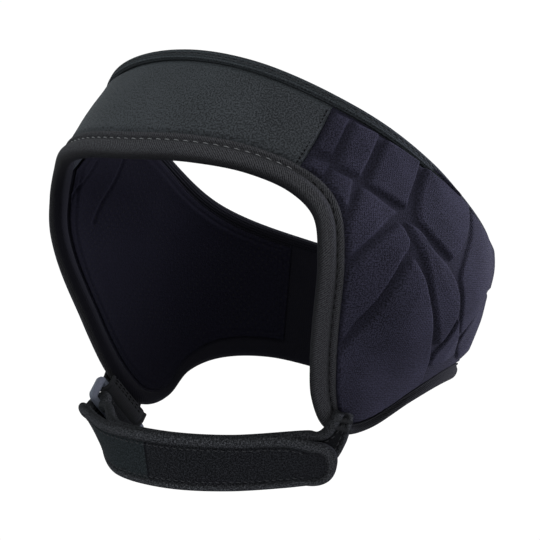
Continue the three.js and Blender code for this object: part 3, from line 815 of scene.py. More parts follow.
def make_tape(node, rim, section, reverse, material):
    """Tape folded over a rim: one section carried all the way round, at each place as wide as the
    rim's own tape and flange, whose ridge is lower where it is narrow. Its UV is the distance along
    the rim and, across, from the fold."""
    shape = closed_curve(section * SECTION_SCALE, TAPE_SECTION_STEPS)[:-1] / SECTION_SCALE
    width_share, flange_share, offset = shape.T
    line = rim[-2::-1] if reverse else rim[:-1]
    flange = line[:, [FLANGE]]
    depth = line[:, [TAPE]] * width_share + flange * flange_share
    places = line[:, None, PLACE] + line[:, None, INWARD] * depth[..., None]
    ridge = np.maximum(offset - FLANGE_FOOT, 0) * smoothstep(flange_share, *FLANGE_RISE)
    points = on_head(places[..., 0], places[..., 1], offset - ridge * (1 - flange / FLANGE_FULL))
    rows, columns = points.shape[:2]
    steps = np.linalg.norm(np.diff(points, axis=1, prepend=points[:, :1]), axis=2)
    around = np.cumsum(steps, axis=1)
    around -= around[:, [TAPE_FOLD]]
    along = np.broadcast_to(run_length(points[:, 0])[:, None], around.shape)
    uv = np.stack([along, around], axis=-1)
    faces = grid_faces(rows, columns, True, True)
    tape = add_piece(f"{node}_tape", points, [faces], material, "binding_tape", uv)
    # Painted shade: the inner side of the tape takes the dark inner colour
    mark(tape, PAINTED_INNER_SHADE, np.tile(1 - smoothstep(offset, *TAPE_INSIDE), rows))
    # Painted highlight: the outer crest keeps full tone and the rest is darker, more so past the front
    crest_light_share = 1 - (1 - CREST_LIGHT_LEAST) * smoothstep(np.abs(line[:, [ANGLE]]), *CREST_LIGHT_ANGLES)
    mark(tape, PAINTED_CREST_LIGHT, crest_light_share * smoothstep(offset, *TAPE_CREST))
    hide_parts(node)


# Ring, chin strap and tab

RING_LENGTH = 34
RING_WIDTH = 15
RING_BAR = 2.8
RING_END = 3.8
RING_THICKNESS = 2.6
RING_CORNER = 1.8
RING_CORNER_POINTS = 9
RING_STEPS = 160
RING_SIDES = 20
RING_ROUND = 0.5
RING_ACROSS = np.array((0.224, 0.677, -0.702))
RING_HANG = np.array((0.366, -0.725, -0.583))
# Columns of a strip's rows: middle, direction across from its upper to its lower edge, and width
MIDDLE = slice(0, 3)
ACROSS = slice(3, 6)
WIDTH = 6
STRAP_WIDTH = 25
STRAP_THICKNESS = 2.6
STRAP_BULGE = 0.5
STRAP_LAYER_GAP = 0.6
STRAP_STEP = 0.9
STRAP_SPAN_STEPS = 30
STRAP_COLUMNS = 61
STRAP_TOP_ROLL = 5
STRAP_LOW_ROLL = 3.4
STRAP_ROLL_CHANGE = (-0.5, 0.5)
# Distances past the roll between which the binding gives way to the strap's own cloth
STRAP_BINDING_END = (-0.2, 0.4)
# Free end: length, power of its curve, rows, the last row's place on a quarter turn, and how many rows
# before it give its direction
STRAP_TIP = 11
TIP_POWER = 2.5
TIP_ROWS = 15
TIP_TURN = 88
TIP_LOOK_BACK = 3
# Fold round the ring: how far the strap's middle lies from the bar inside, past it and outside
STRAP_FOLD = (3.6, 5.6, 6)
WRAP_STEPS = 25
WRAP_GAP = 0.5
# Inner layer: how far it lies below the outer one, and how it is drawn in next to the ring
INNER_DROP = 1.5
INNER_DRAW = np.array((5.1, 3.5, -0.4))
STRAP_OUTER_RUN = np.array([
    (-43, -62, -103.9, 0.25, 0.5, -0.83, 25),
    (-20, -73, -109.5, 0.05, 0.4, -0.92, 25),
    (8, -71, -111.3, -0.1, 0.33, -0.94, 25),
    (32, -57, -110.3, -0.25, 0.28, -0.93, 25),
    (50, -42, -107.6, -0.25, 0.25, -0.94, 23.5),
    (57, -35.5, -107.6, -0.3, 0.2, -0.93, 20),
])
STRAP_SEWN_RUN = np.array([
    (55.5, -29.6, -102, -0.1, 0.7, -0.7, 22),
    (61, -27.2, -96.4, 0.1, 0.95, -0.3, 15),
    (65.9, -27.2, -86, 0.15, 0.98, -0.1, 10),
])
# Edge of a strip: how far in it is round, its least height there, the roll's power, and the depth,
# place and width of the groove that the stitches draw in
EDGE_ROUND = 1.6
EDGE_LEAST = 0.02
ROLL_POWER = 0.7
GROOVE_DEPTH = 0.5
GROOVE_PLACE = 0.4
GROOVE_WIDTH = 0.6
# Shift of a strip's back face in its UV, in half widths
BACK_FACE_SHIFT = 2.2
TAB_ANGLE = -63.5
TAB_WIDTH = 25
TAB_THICKNESS = 1.6
TAB_HANG = 5
TAB_OVERLAP = 11
TAB_LIFT = 5.5
TAB_STUB = 4.2
TAB_STEPS = 60
TAB_COLUMNS = 41
TAB_ROLL = 1.6
TAB_BULGE = 0.15

ring_low, ring_high = (np.array(corner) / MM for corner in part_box("strap_ring"))
ring_middle = (ring_low + ring_high) / 2
ring_across = unit(RING_ACROSS)
ring_hang = unit(RING_HANG - ring_across * (RING_HANG @ ring_across))
ring_out = np.cross(ring_across, ring_hang)
bar_reach = (RING_WIDTH - RING_BAR) / 2
front_bar = ring_middle + ring_hang * bar_reach
rear_bar = ring_middle - ring_hang * bar_reach
tab_radius = (np.hypot(RING_BAR, RING_THICKNESS) + TAB_THICKNESS) / 2 + WRAP_GAP


def rounded(x):
    """Sine or cosine raised to a power with its sign kept, which makes a circle a rounded square."""
    return np.sign(x) * np.abs(x) ** RING_ROUND


def make_ring(material):
    """Moulded ring: a bar with a rounded square section carried round a rectangle with round corners,
    wider at its ends."""
    half_length = (RING_LENGTH - RING_END) / 2
    corners = []
    for k, (x, y) in enumerate(((1, 1), (-1, 1), (-1, -1), (1, -1))):
        turn = np.radians(np.linspace(90 * k, 90 * k + 90, RING_CORNER_POINTS))
        arc = np.stack([np.cos(turn), np.sin(turn)], axis=1) * RING_CORNER
        corners.append(arc + (x * (half_length - RING_CORNER), y * (bar_reach - RING_CORNER)))
    path = resample(np.vstack(corners + [corners[0][:1]]), RING_STEPS)[:-1]
    travel = unit(np.roll(path, -1, axis=0) - np.roll(path, 1, axis=0))
    aside = np.stack([travel[:, 1], -travel[:, 0]], axis=1)
    turn = np.linspace(0, 2 * np.pi, RING_SIDES, endpoint=False)
    bar = RING_BAR + (RING_END - RING_BAR) * np.abs(travel[:, 1:])
    wide = rounded(np.cos(turn)) * bar / 2
    high = rounded(np.sin(turn)) * RING_THICKNESS / 2
    flat = path[:, None] + aside[:, None] * wide[..., None]
    points = ring_middle + flat[..., :1] * ring_across + flat[..., 1:] * ring_hang
    points = points + high[:, None] * ring_out
    faces = grid_faces(RING_STEPS, RING_SIDES, True, True)[:, ::-1]
    ring = add_piece("strap_ring_moulding", points, [faces], material, "ring_plastic")
    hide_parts("strap_ring")


def bar_turn(bar, direction, inside, reach, outside, width):
    """Strip turning half round a bar of the ring, from its inner side to its outer side, as two
    quarters of ellipses."""
    turn = np.radians(np.linspace(-90, 90, WRAP_STEPS))[:, None]
    aside = np.where(turn < 0, inside, outside)
    middle = bar + direction * reach * np.cos(turn) + ring_out * aside * np.sin(turn)
    return np.hstack([middle, np.tile(ring_across, (WRAP_STEPS, 1)), np.full((WRAP_STEPS, 1), width)])


def strap_line():
    """Middle line of the whole strap from its sewn end by way of the ring to its free end, with the
    direction across it and its width. The inner layer is the outer one moved along its face."""
    outer = STRAP_OUTER_RUN.copy()
    outer[:, ACROSS] = unit(outer[:, ACROSS])
    inner = outer[:-2].copy()
    before = np.vstack([inner[:1], inner[:-1]])
    travel = outer[1:-1, MIDDLE] - before[:, MIDDLE]
    face = unit(np.cross(travel, inner[:, ACROSS]))
    pitch = STRAP_THICKNESS * (1 + STRAP_BULGE) + STRAP_LAYER_GAP
    inner[:, MIDDLE] += face * pitch + inner[:, ACROSS] * INNER_DROP
    inner[0, MIDDLE] += INNER_DRAW
    fold = bar_turn(front_bar, -ring_hang, *STRAP_FOLD, STRAP_WIDTH)
    past = np.concatenate([ring_hang * RING_BAR, np.zeros(4)])
    arriving = np.vstack([STRAP_SEWN_RUN[::-1], inner[::-1], fold[:1] + past, fold[:1]])
    leaving = np.vstack([fold[-1:], fold[-1:] + past, outer])
    curves = [catmull_rom(run, STRAP_SPAN_STEPS, MIDDLE) for run in (arriving, leaving)]
    line = np.vstack([curves[0][:-1], fold[:-1], curves[1]])
    count = round(run_length(line[:, MIDDLE])[-1] / STRAP_STEP)
    line = resample(line, count, MIDDLE)
    line[:, ACROSS] = unit(line[:, ACROSS])
    return line


def shares_across(columns):
    """Places across a strip from -1 to 1, closer towards its edges: the sine of even steps."""
    return np.sin(np.radians(np.linspace(-90, 90, columns)))


def strip_face(line):
    """Unit normals of a strip's front face, across its travel and its width."""
    return unit(np.cross(np.gradient(line[:, MIDDLE], axis=0), line[:, ACROSS]))


def strip_piece(name, line, share, height, along, width, material, slot):
    """Closed strip with one flat face at each end. At each row of its line the section goes out along
    the front face and home along the back, each at its height from the middle."""
    rise = strip_face(line)[:, None] * height[..., None]
    level = line[:, None, MIDDLE] + line[:, None, ACROSS] * (line[:, [WIDTH]] / 2 * share)[..., None]
    points = np.concatenate([level + rise, (level - rise)[:, ::-1]], axis=1)
    across = np.concatenate([share, share[::-1] + BACK_FACE_SHIFT]) * width / 2
    uv = np.stack(np.meshgrid(along, across, indexing="ij"), axis=-1)
    rows, columns = points.shape[:2]
    start = np.arange(columns)[None, ::-1]
    end = start[:, ::-1] + (rows - 1) * columns
    faces = [grid_faces(rows, columns, False, True), start, end]
    return add_piece(name, points, faces, material, slot, uv)


def edge_height(edge, roll, thickness, bulge):
    """Half thickness of a strip with a taped edge: round at the edge, full over the roll by a power
    of a sine, drawn in at the stitches by a bell curve, then plain."""
    half = thickness / 2
    lip = np.sqrt(np.clip(1 - (1 - np.clip(edge / EDGE_ROUND, 0, 1)) ** 2, EDGE_LEAST, 1))
    rolled = bulge * half * np.sin(np.pi * np.clip(edge / roll, 0, 1)) ** ROLL_POWER
    return half * lip + rolled - GROOVE_DEPTH * bell(edge - roll - GROOVE_PLACE, GROOVE_WIDTH)


def make_strap(material):
    """Chin strap: sewn to the left pad, folded round the ring and back on itself, with taped edges
    and a free end in the form of a superellipse. Its UV counts back from that end."""
    line = strap_line()
    tip_along = np.sin(np.radians(np.linspace(0, TIP_TURN, TIP_ROWS + 1)))[1:]
    tip = np.tile(line[-1], (TIP_ROWS, 1))
    travel = unit(line[-1, MIDDLE] - line[-1 - TIP_LOOK_BACK, MIDDLE])
    tip[:, MIDDLE] += travel * STRAP_TIP * tip_along[:, None]
    tip[:, WIDTH] *= (1 - tip_along**TIP_POWER) ** (1 / TIP_POWER)
    whole = np.vstack([line, tip])
    past = np.concatenate([np.zeros(len(line)), STRAP_TIP * tip_along])[:, None]
    share = shares_across(STRAP_COLUMNS)
    half = whole[:, [WIDTH]] / 2
    aside = np.abs(share) * half
    reach = (past / STRAP_TIP) ** TIP_POWER + (aside / (line[-1, WIDTH] / 2)) ** TIP_POWER
    edge = np.where(past > 0, (1 - reach ** (1 / TIP_POWER)) * STRAP_TIP, half - aside)
    edge = np.maximum(edge, 0)
    roll_change = smoothstep(share, *STRAP_ROLL_CHANGE)
    roll = STRAP_TOP_ROLL + (STRAP_LOW_ROLL - STRAP_TOP_ROLL) * roll_change
    height = edge_height(edge, roll, STRAP_THICKNESS, STRAP_BULGE)
    along = run_length(whole[:, MIDDLE])
    strap = strip_piece(
        "chin_strap_cloth", whole, share, height, along - along[-1], STRAP_WIDTH, material, "strap_cloth")
    bound = 1 - smoothstep(edge - roll, *STRAP_BINDING_END)
    # Painted highlight on the crest of each rolled edge, and painted shade at the edge and the stitch
    # line
    crest = np.sin(np.pi * np.clip(edge / roll, 0, 1))
    for name, front in ((BOUND, bound), (PAINTED_CREST_LIGHT, crest)):
        mark(strap, name, np.concatenate([front, front[:, ::-1]], axis=1))
    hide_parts("chin_strap")


def make_tab(material):
    """Webbing tab: sewn flat on the right pad's tip, round the ring's rear bar and under again."""
    rim = lower_rim[(lower_rim[:, ANGLE] < 0) & (lower_rim[:, HEIGHT] < PAD_TIP_BELOW)]
    tip = rim[np.argmin(np.abs(rim[:, ANGLE] - TAB_ANGLE))]
    tail = tip[PLACE] + tip[INWARD] * TAB_OVERLAP
    turn = bar_turn(rear_bar, ring_hang, tab_radius, tab_radius, tab_radius, TAB_WIDTH)[::-1]
    rows = np.vstack([turn[:1], turn[:1], turn, turn[-1:]])
    rows[0, MIDDLE] = on_head(tail[0], tail[1], TAB_LIFT)
    rows[1, MIDDLE] = rear_bar - ring_hang * TAB_HANG + ring_out * tab_radius
    rows[-1, MIDDLE] -= ring_hang * TAB_STUB
    line = resample(rows, TAB_STEPS, MIDDLE)
    share = shares_across(TAB_COLUMNS)
    side_edge = (1 - np.abs(share)) * TAB_WIDTH / 2
    height = edge_height(side_edge, TAB_ROLL, TAB_THICKNESS, TAB_BULGE) + 0 * line[:, :1]
    along = run_length(line[:, MIDDLE])
    tab = strip_piece("ring_tab_webbing", line, share, height, along, TAB_WIDTH, material, "webbing")
    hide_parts("ring_tab")


# Stitches

STITCH_RINGS = 6
STITCH_SIDES = 6
# A thread's rise over its radius, the share of it that stays in the cloth, and its girth at the ends
STITCH_RISE = 1.4
STITCH_SUNK = 0.35
STITCH_END = 0.35
# Kinds of stitch: pitch, length, radius and slant
BROW_STITCH = (4.4, 2.5, 0.21, 0.12)
SIDE_STITCH = (4.4, 2.5, 0.2, 0.12)
TOP_TAPE_STITCH = (3.6, 2.6, 0.2, 0.1)
SEAM_STITCH = (2.1, 1.5, 0.28, 0.1)
STRAP_STITCH = (2.9, 1.9, 0.22, 0.2)
TACK_STITCH = (0.8, 0.35, 0.42, 1.1)
TAB_STITCH = (2.4, 1.7, 0.25, 0.1)
# Rows round the face opening: how far round, the least tape, where the brow's row ends, and the place
FACE_ROW_ANGLE = 64
FACE_ROW_TAPE = 6.2
BROW_ROW_ANGLE = 44
FACE_ROW_FLANGE = 0.1
FACE_ROW_OFFSET = 2.45
TOP_ROW_TAPE = 0.54
TOP_ROW_OFFSET = 3.05
# Rows beside the brow seams: depths past the tapes, distance from the seam and rise over the wall
SEAM_ROW_LOW = 3.4
SEAM_ROW_TOP = 0.4
SEAM_ROW_INSET = 2
SEAM_ROW_RISE = 0.95
STRAP_ROW_INSET = 1.1
STRAP_ROW_HEIGHT = 1.2
STRAP_TACKS = (3, 7)
STRAP_TACK_HEIGHT = 1.5
STRAP_TACK_POINTS = 20
TAB_ROWS = (1.2, 3)
TAB_ROW_HEIGHT = 0.75
TAB_ROW_REACH = 0.46
TAB_ROW_POINTS = 30


def stitch_row(name, path, normal, kind, material, slot):
    """Row of stitches along a path on the cloth. Each is a short round thread that rises out of the
    cloth as a sine and dips into it again, set a little askew of the row."""
    pitch, length, radius, slant = kind
    at = run_length(path)
    count = int((at[-1] - length) // pitch)
    start = (np.arange(count) + 0.5) * pitch
    first_end, last_end = (rows_at(place, at, path) for place in (start, start + length))
    up = unit(rows_at(start, at, normal) + rows_at(start + length, at, normal))
    travel = last_end - first_end
    aside = unit(np.cross(travel, up))
    t = np.linspace(0, 1, STITCH_RINGS)
    arch = np.sin(np.pi * t)
    sway = (t - 0.5) * 2 * slant
    lift = (arch - STITCH_SUNK) * radius * STITCH_RISE
    middle = first_end[:, None] + travel[:, None] * t[:, None]
    middle = middle + aside[:, None] * sway[:, None] + up[:, None] * lift[:, None]
    turn = np.linspace(0, 2 * np.pi, STITCH_SIDES, endpoint=False)[:, None]
    girth = radius * (STITCH_END + (1 - STITCH_END) * arch**0.5)
    ring = aside[:, None, None] * np.cos(turn) + up[:, None, None] * np.sin(turn)
    points = middle[:, :, None] + ring * girth[:, None, None]
    block = STITCH_RINGS * STITCH_SIDES
    first = np.arange(count)[:, None, None] * block
    tube = (grid_faces(STITCH_RINGS, STITCH_SIDES, False, True)[None] + first).reshape(-1, 4)
    cap = np.arange(STITCH_SIDES)
    caps = np.vstack([cap[::-1] + first[:, 0], cap + block - STITCH_SIDES + first[:, 0]])
    add_piece(name, points, [tube, caps], material, slot)


def cloth_path(places, offset):
    """Line on the cloth at an offset from the head form, with the normals there."""
    angle, height = places.T
    return on_head(angle, height, offset), outward(angle, height)


def sew_face_opening(brow_thread, shaded_side_thread):
    """Rows in the valley between the wide tape's roll and its flange: one over the brow, and a finer
    one down to the tip of each pad."""
    wide = lower_rim[:, TAPE] > FACE_ROW_TAPE
    rim = lower_rim[(np.abs(lower_rim[:, ANGLE]) < FACE_ROW_ANGLE) & wide]
    brow = np.flatnonzero(np.abs(rim[:, ANGLE]) < BROW_ROW_ANGLE)
    stretches = (
        ("brow", brow[0], brow[-1], BROW_STITCH, brow_thread),
        # The side rows are sewn in the thread given for their painted shade
        ("right", 0, brow[0], SIDE_STITCH, shaded_side_thread),
        ("left", brow[-1], -1, SIDE_STITCH, shaded_side_thread),
    )
    for name, first, last, kind, material in stretches:
        line = rim[first:last]
        places = inset(line, line[:, TAPE] + FACE_ROW_FLANGE * line[:, FLANGE])
        path, normal = cloth_path(places, FACE_ROW_OFFSET)
        stitch_row(f"face_stitches_{name}", path, normal, kind, material, "binding_tape")


def sew_top_tape(material):
    """Row all the way round the upper tape, in the valley of its section."""
    path, normal = cloth_path(inset(top_rim, TOP_ROW_TAPE * top_rim[:, TAPE]), TOP_ROW_OFFSET)
    stitch_row("top_tape_stitches", path, normal, TOP_TAPE_STITCH, material, "binding_tape")


def sew_brow_seams(material):
    """Row on each end of the forehead panel, beside its seam."""
    low = between(lower_rim, SEAM_ROW_LOW, right_brow_seam, brow_seam, CUT_AT_RIGHT)
    top = between(top_rim, SEAM_ROW_TOP, right_brow_seam, brow_seam, CUT_AT_RIGHT)
    for hand, end, shift in (("right", 0, 1), ("left", -1, -1)):
        places = resample(np.vstack([low[end], top[end]]), SEAM_STEPS)
        places[:, ANGLE] += shift * SEAM_ROW_INSET / PATTERN
        path, normal = cloth_path(places, WALL_OUTSIDE + SEAM_ROW_RISE)
        stitch_row(f"brow_seam_stitches_{hand}", path, normal, SEAM_STITCH, material, "brow_cloth")


def sew_strap(material):
    """Rows on both faces of the strap, where its rolled edges meet the flat cloth, and the tack that
    holds its gathered end to the pad."""
    line = strap_line()
    face = strip_face(line)
    half = line[:, [WIDTH]] / 2
    for edge, roll, side in (("upper", STRAP_TOP_ROLL, -1), ("lower", STRAP_LOW_ROLL, 1)):
        place = line[:, MIDDLE] + line[:, ACROSS] * side * (half - roll - STRAP_ROW_INSET)
        for layer, turn in (("front", 1), ("back", -1)):
            path = place + face * turn * STRAP_ROW_HEIGHT
            name = f"strap_{edge}_stitches_{layer}"
            stitch_row(name, path, face * turn, STRAP_STITCH, material, "strap_cloth")
    share = np.linspace(-0.5, 0.5, STRAP_TACK_POINTS)[:, None]
    for row in STRAP_TACKS:
        middle = line[row, MIDDLE] + face[row] * STRAP_TACK_HEIGHT
        path = middle + line[row, ACROSS] * line[row, WIDTH] * share
        normal = np.tile(face[row], (STRAP_TACK_POINTS, 1))
        stitch_row(f"strap_tack_{row}", path, normal, TACK_STITCH, material, "strap_cloth")


def sew_tab(material):
    """Two rows across the tab, close beside the ring, on the side towards the head."""
    across = np.linspace(-TAB_ROW_REACH, TAB_ROW_REACH, TAB_ROW_POINTS)[:, None] * TAB_WIDTH
    normal = np.tile(-ring_out, (TAB_ROW_POINTS, 1))
    for row in TAB_ROWS:
        middle = rear_bar - ring_hang * row - ring_out * (tab_radius + TAB_ROW_HEIGHT)
        path = middle + ring_across * across
        stitch_row(f"tab_stitches_{row}", path, normal, TAB_STITCH, material, "webbing")


# Materials

# Dark colour painted on inner faces as shade, and the colour of the strap's seam line
INNER_SHADE_AND_SEAM_DARK = (0.0029, 0.0029, 0.0043)
GRAIN_DETAIL = 4
GRAIN_ROUGHNESS = 0.7
SHEEN_ROUGHNESS = 0.45
# Knit: heights that loops and wales keep between their crests
LOOP_FLOOR = 0.4
WALE_FLOOR = 0.35
WARP_SHARE = 0.5
# Holes of the lining: pitch, and radius as a share of it
HOLE_PITCH = 4.2
HOLE_RADIUS = 0.12
# Strap, back from its free end: the seam between fleece and smooth cloth, and the turn to the inner
# layer, past which the colour is painted darker as shade
STRAP_SEAM = -79.5
STRAP_SEAM_WIDTH = 0.9
STRAP_TURN = -150
# Threads: dark and light tone, and gloss
PALE_THREAD = ((0.056, 0.058, 0.062), (0.13, 0.134, 0.14), 0.3)
DARK_THREAD = ((0.0006, 0.0006, 0.0008), (0.003, 0.003, 0.0034), 0.03)
STRAP_THREAD = ((0.009, 0.0095, 0.0108), (0.0335, 0.035, 0.038), 0.05)


def new_material(name):
    """Material with its node tree and its shader."""
    material = bpy.data.materials.new(name)
    material.use_nodes = True
    tree = material.node_tree
    return material, tree, tree.nodes["Principled BSDF"]


def value(tree, operation, a, b=0.0):
    """Math node on sockets or plain numbers."""
    node = tree.nodes.new("ShaderNodeMath")
    node.operation = operation
    for socket, given in zip(node.inputs, (a, b)):
        if isinstance(given, (int, float)):
            socket.default_value = given
        else:
            tree.links.new(given, socket)
    return node.outputs[0]


def weighted(tree, *terms):
    """Sum of sockets, each times its own weight."""
    total = None
    for socket, weight in terms:
        term = value(tree, "MULTIPLY", socket, weight)
        total = term if total is None else value(tree, "ADD", total, term)
    return total


def coordinates(tree, kind):
    """Places on the piece: its own UV in millimetres, or its Object coordinates in metres."""
    return tree.nodes.new("ShaderNodeTexCoord").outputs[kind]


def parts(tree, vector):
    """The three parts of a vector. A UV's first is along the cloth and its second across."""
    split = tree.nodes.new("ShaderNodeSeparateXYZ")
    tree.links.new(vector, split.inputs[0])
    return split.outputs["X"], split.outputs["Y"], split.outputs["Z"]


def noise(tree, vector, scale, detail=2.0, roughness=0.5):
    """Cloudy noise about 0.5."""
    node = tree.nodes.new("ShaderNodeTexNoise")
    node.inputs["Scale"].default_value = scale
    node.inputs["Detail"].default_value = detail
    node.inputs["Roughness"].default_value = roughness
    tree.links.new(vector, node.inputs["Vector"])
    return node.outputs["Fac"]


def grain(tree, vector, scale, gain):
    """Fine noise spread by a gain about its middle, from 0 to 1."""
    fine = noise(tree, vector, scale, GRAIN_DETAIL, GRAIN_ROUGHNESS)
    spread = value(tree, "MULTIPLY", value(tree, "SUBTRACT", fine, 0.5), gain)
    node = tree.nodes.new("ShaderNodeClamp")
    tree.links.new(value(tree, "ADD", spread, 0.5), node.inputs["Value"])
    return node.outputs["Result"]


def marked(tree, name):
    """Number that the piece's own points carry."""
    node = tree.nodes.new("ShaderNodeAttribute")
    node.attribute_name = name
    return node.outputs["Fac"]


def shade(tree, low, high, factor):
    """Colour between a dark and a light one."""
    node = tree.nodes.new("ShaderNodeMix")
    node.data_type = "RGBA"
    tree.links.new(factor, node.inputs["Factor"])
    for socket, colour in ((node.inputs[6], low), (node.inputs[7], high)):
        if isinstance(colour, tuple):
            socket.default_value = (*colour, 1)
        else:
            tree.links.new(colour, socket)
    return node.outputs[2]


def inside_painted_shade(tree, outside):
    """Colour outside, and on the piece's inner face a dark colour painted there as shade."""
    return shade(tree, outside, INNER_SHADE_AND_SEAM_DARK, marked(tree, PAINTED_INNER_SHADE))


def crest_painted_shading(tree, tone, hollow):
    """Tone kept full on the crests and darker by a share in the hollows: painted highlight on crests and
    painted shade in hollows.
    """
    crest = value(tree, "MULTIPLY", marked(tree, PAINTED_CREST_LIGHT), 1 - hollow)
    return value(tree, "MULTIPLY", tone, value(tree, "ADD", crest, hollow))


def wave(tree, place, pitch=1.0):
    """Sine of a place over its pitch, from 0 to 1."""
    turned = value(tree, "MULTIPLY", value(tree, "DIVIDE", place, pitch), 2 * np.pi)
    return value(tree, "MULTIPLY", value(tree, "ADD", value(tree, "SINE", turned), 1.0), 0.5)


def knit_height(tree, along, across, wale, course):
    """Jersey: rows of loops that rise to each side of every wale, as a wave along the wale whose
    start follows a tent across it, under a rounded wale."""
    tent = value(tree, "PINGPONG", value(tree, "DIVIDE", along, wale), 0.5)
    loops = wave(tree, value(tree, "ADD", value(tree, "DIVIDE", across, course), tent))
    loops = value(tree, "ADD", loops, LOOP_FLOOR)
    ridge = value(tree, "ADD", value(tree, "MULTIPLY", tent, 2.0), WALE_FLOOR)
    return value(tree, "MULTIPLY", loops, ridge)


def twill_height(tree, along, across, pitch, lean):
    """Twill: slanting ridges, as a wave along the cloth that shifts as it goes across."""
    return wave(tree, value(tree, "ADD", along, value(tree, "MULTIPLY", across, lean)), pitch)


def weave_height(tree, along, across, warp, weft):
    """Plain weave: two crossed waves, one over the other by turns."""
    first = wave(tree, along, weft)
    second = wave(tree, across, warp)
    crossed = value(tree, "ABSOLUTE", value(tree, "SUBTRACT", first, second))
    return value(tree, "ADD", crossed, value(tree, "MULTIPLY", second, WARP_SHARE))


def bump(tree, shader, height, depth):
    """Fine relief from a height between 0 and 1, and its depth in millimetres."""
    node = tree.nodes.new("ShaderNodeBump")
    node.inputs["Distance"].default_value = depth * MM
    node.inputs["Strength"].default_value = 1
    tree.links.new(height, node.inputs["Height"])
    tree.links.new(node.outputs["Normal"], shader.inputs["Normal"])


def gloss(shader, roughness, specular):
    """Roughness and gloss, the same all over."""
    shader.inputs["Roughness"].default_value = roughness
    shader.inputs["Specular IOR Level"].default_value = specular


def finish_cloth(tree, shader, colour, height, depth, roughness, specular, sheen, tint):
    """Colour and relief of a cloth, with the same roughness, gloss and sheen all over."""
    tree.links.new(colour, shader.inputs["Base Color"])
    bump(tree, shader, height, depth)
    gloss(shader, roughness, specular)
    shader.inputs["Sheen Weight"].default_value = sheen
    shader.inputs["Sheen Roughness"].default_value = SHEEN_ROUGHNESS
    shader.inputs["Sheen Tint"].default_value = (*tint, 1)


def pad_jersey():
    """Bluish black jersey moulded over the foam."""
    material, tree, shader = new_material("pad_jersey")
    uv = coordinates(tree, "UV")
    along, across, _ = parts(tree, uv)
    height = knit_height(tree, along, across, wale=0.95, course=0.8)
    speck = grain(tree, uv, scale=1.5, gain=11)
    drift = value(tree, "SUBTRACT", noise(tree, uv, scale=0.06), 0.5)
    # Tone painted darker in the hollows between panels, as shade
    tone = crest_painted_shading(tree, weighted(tree, (speck, 0.6), (height, 0.2), (drift, 0.5)), hollow=0.6)
    colour = inside_painted_shade(tree, shade(tree, (0.0029, 0.0029, 0.0043), (0.0217, 0.0213, 0.035), tone))
    finish_cloth(
        tree, shader, colour, height, depth=0.12,
        roughness=0.85, specular=0.03, sheen=0.02, tint=(0.6, 0.58, 1))
    return material


def brow_neoprene():
    """Smooth greenish black cloth with a fine grain."""
    material, tree, shader = new_material("brow_neoprene")
    uv = coordinates(tree, "UV")
    speck = grain(tree, uv, scale=1.5, gain=9)
    tone = weighted(tree, (speck, 0.75), (noise(tree, uv, scale=0.05), 0.35))
    colour = inside_painted_shade(tree, shade(tree, (0.0042, 0.0047, 0.0053), (0.0285, 0.032, 0.036), tone))
    finish_cloth(
        tree, shader, colour, speck, depth=0.1,
        roughness=0.7, specular=0.05, sheen=0.03, tint=(0.75, 0.93, 1))
    return material


def tape_twill():
    """Tape of the face opening: fine slanting ridges along the roll."""
    material, tree, shader = new_material("tape_twill")
    uv = coordinates(tree, "UV")
    along, across, _ = parts(tree, uv)
    height = twill_height(tree, along, across, pitch=1.0, lean=0.8)
    speck = grain(tree, uv, scale=1.5, gain=10)
    # Painted highlight on the tape's crest, painted shade towards its fold
    tone = crest_painted_shading(tree, weighted(tree, (height, 0.55), (speck, 0.4)), hollow=0.3)
    colour = inside_painted_shade(tree, shade(tree, (0.0009, 0.0009, 0.0011), (0.0405, 0.0415, 0.0455), tone))
    finish_cloth(
        tree, shader, colour, height, depth=0.1,
        roughness=0.9, specular=0.03, sheen=0.01, tint=(0.9, 0.95, 1))
    return material


def tape_rib():
    """Tape of the upper edge: ribs along its length, crossed by a fine weft."""
    material, tree, shader = new_material("tape_rib")
    uv = coordinates(tree, "UV")
    along, across, _ = parts(tree, uv)
    ribs = wave(tree, across, pitch=1.25)
    weft = wave(tree, along, pitch=0.8)
    speck = grain(tree, uv, scale=1.4, gain=12)
    tone = weighted(tree, (ribs, 0.4), (weft, 0.15), (speck, 0.45))
    colour = inside_painted_shade(tree, shade(tree, (0.0028, 0.0031, 0.0037), (0.0291, 0.034, 0.0379), tone))
    height = weighted(tree, (ribs, 1.6), (weft, 1.0))
    finish_cloth(
        tree, shader, colour, height, depth=0.2,
        roughness=0.9, specular=0.03, sheen=0.015, tint=(0.85, 0.97, 1))
    return material


def lining_mesh():
    """Near black lining with fine holes in staggered rows, lighter in broad random patches."""
    material, tree, shader = new_material("lining_mesh")
    uv = coordinates(tree, "UV")
    along, across, _ = parts(tree, uv)
    nearest = []
    for shift in (0.0, 0.5):
        squares = []
        for place in (along, across):
            cell = value(tree, "ADD", value(tree, "DIVIDE", place, HOLE_PITCH), shift)
            away = value(tree, "SUBTRACT", value(tree, "FRACT", cell), 0.5)
            squares.append(value(tree, "POWER", away, 2.0))
        nearest.append(value(tree, "SQRT", value(tree, "ADD", *squares)))
    hole = value(tree, "LESS_THAN", value(tree, "MINIMUM", *nearest), HOLE_RADIUS)
    speck = grain(tree, uv, scale=1.2, gain=3)
    # Broad random patches in which the holes show lighter
    painted_crest_light_and_hole_patches = grain(tree, uv, scale=0.03, gain=5)
    cloth = shade(tree, (0.0008, 0.0008, 0.0015), (0.0043, 0.0043, 0.0077), speck)
    colour = shade(tree, cloth, (0.0045, 0.0045, 0.0055), value(tree, "MULTIPLY", hole, painted_crest_light_and_hole_patches))
    finish_cloth(
        tree, shader, colour, value(tree, "SUBTRACT", speck, hole), depth=0.05,
        roughness=0.9, specular=0.02, sheen=0.004, tint=(0.6, 0.6, 1))
    return material


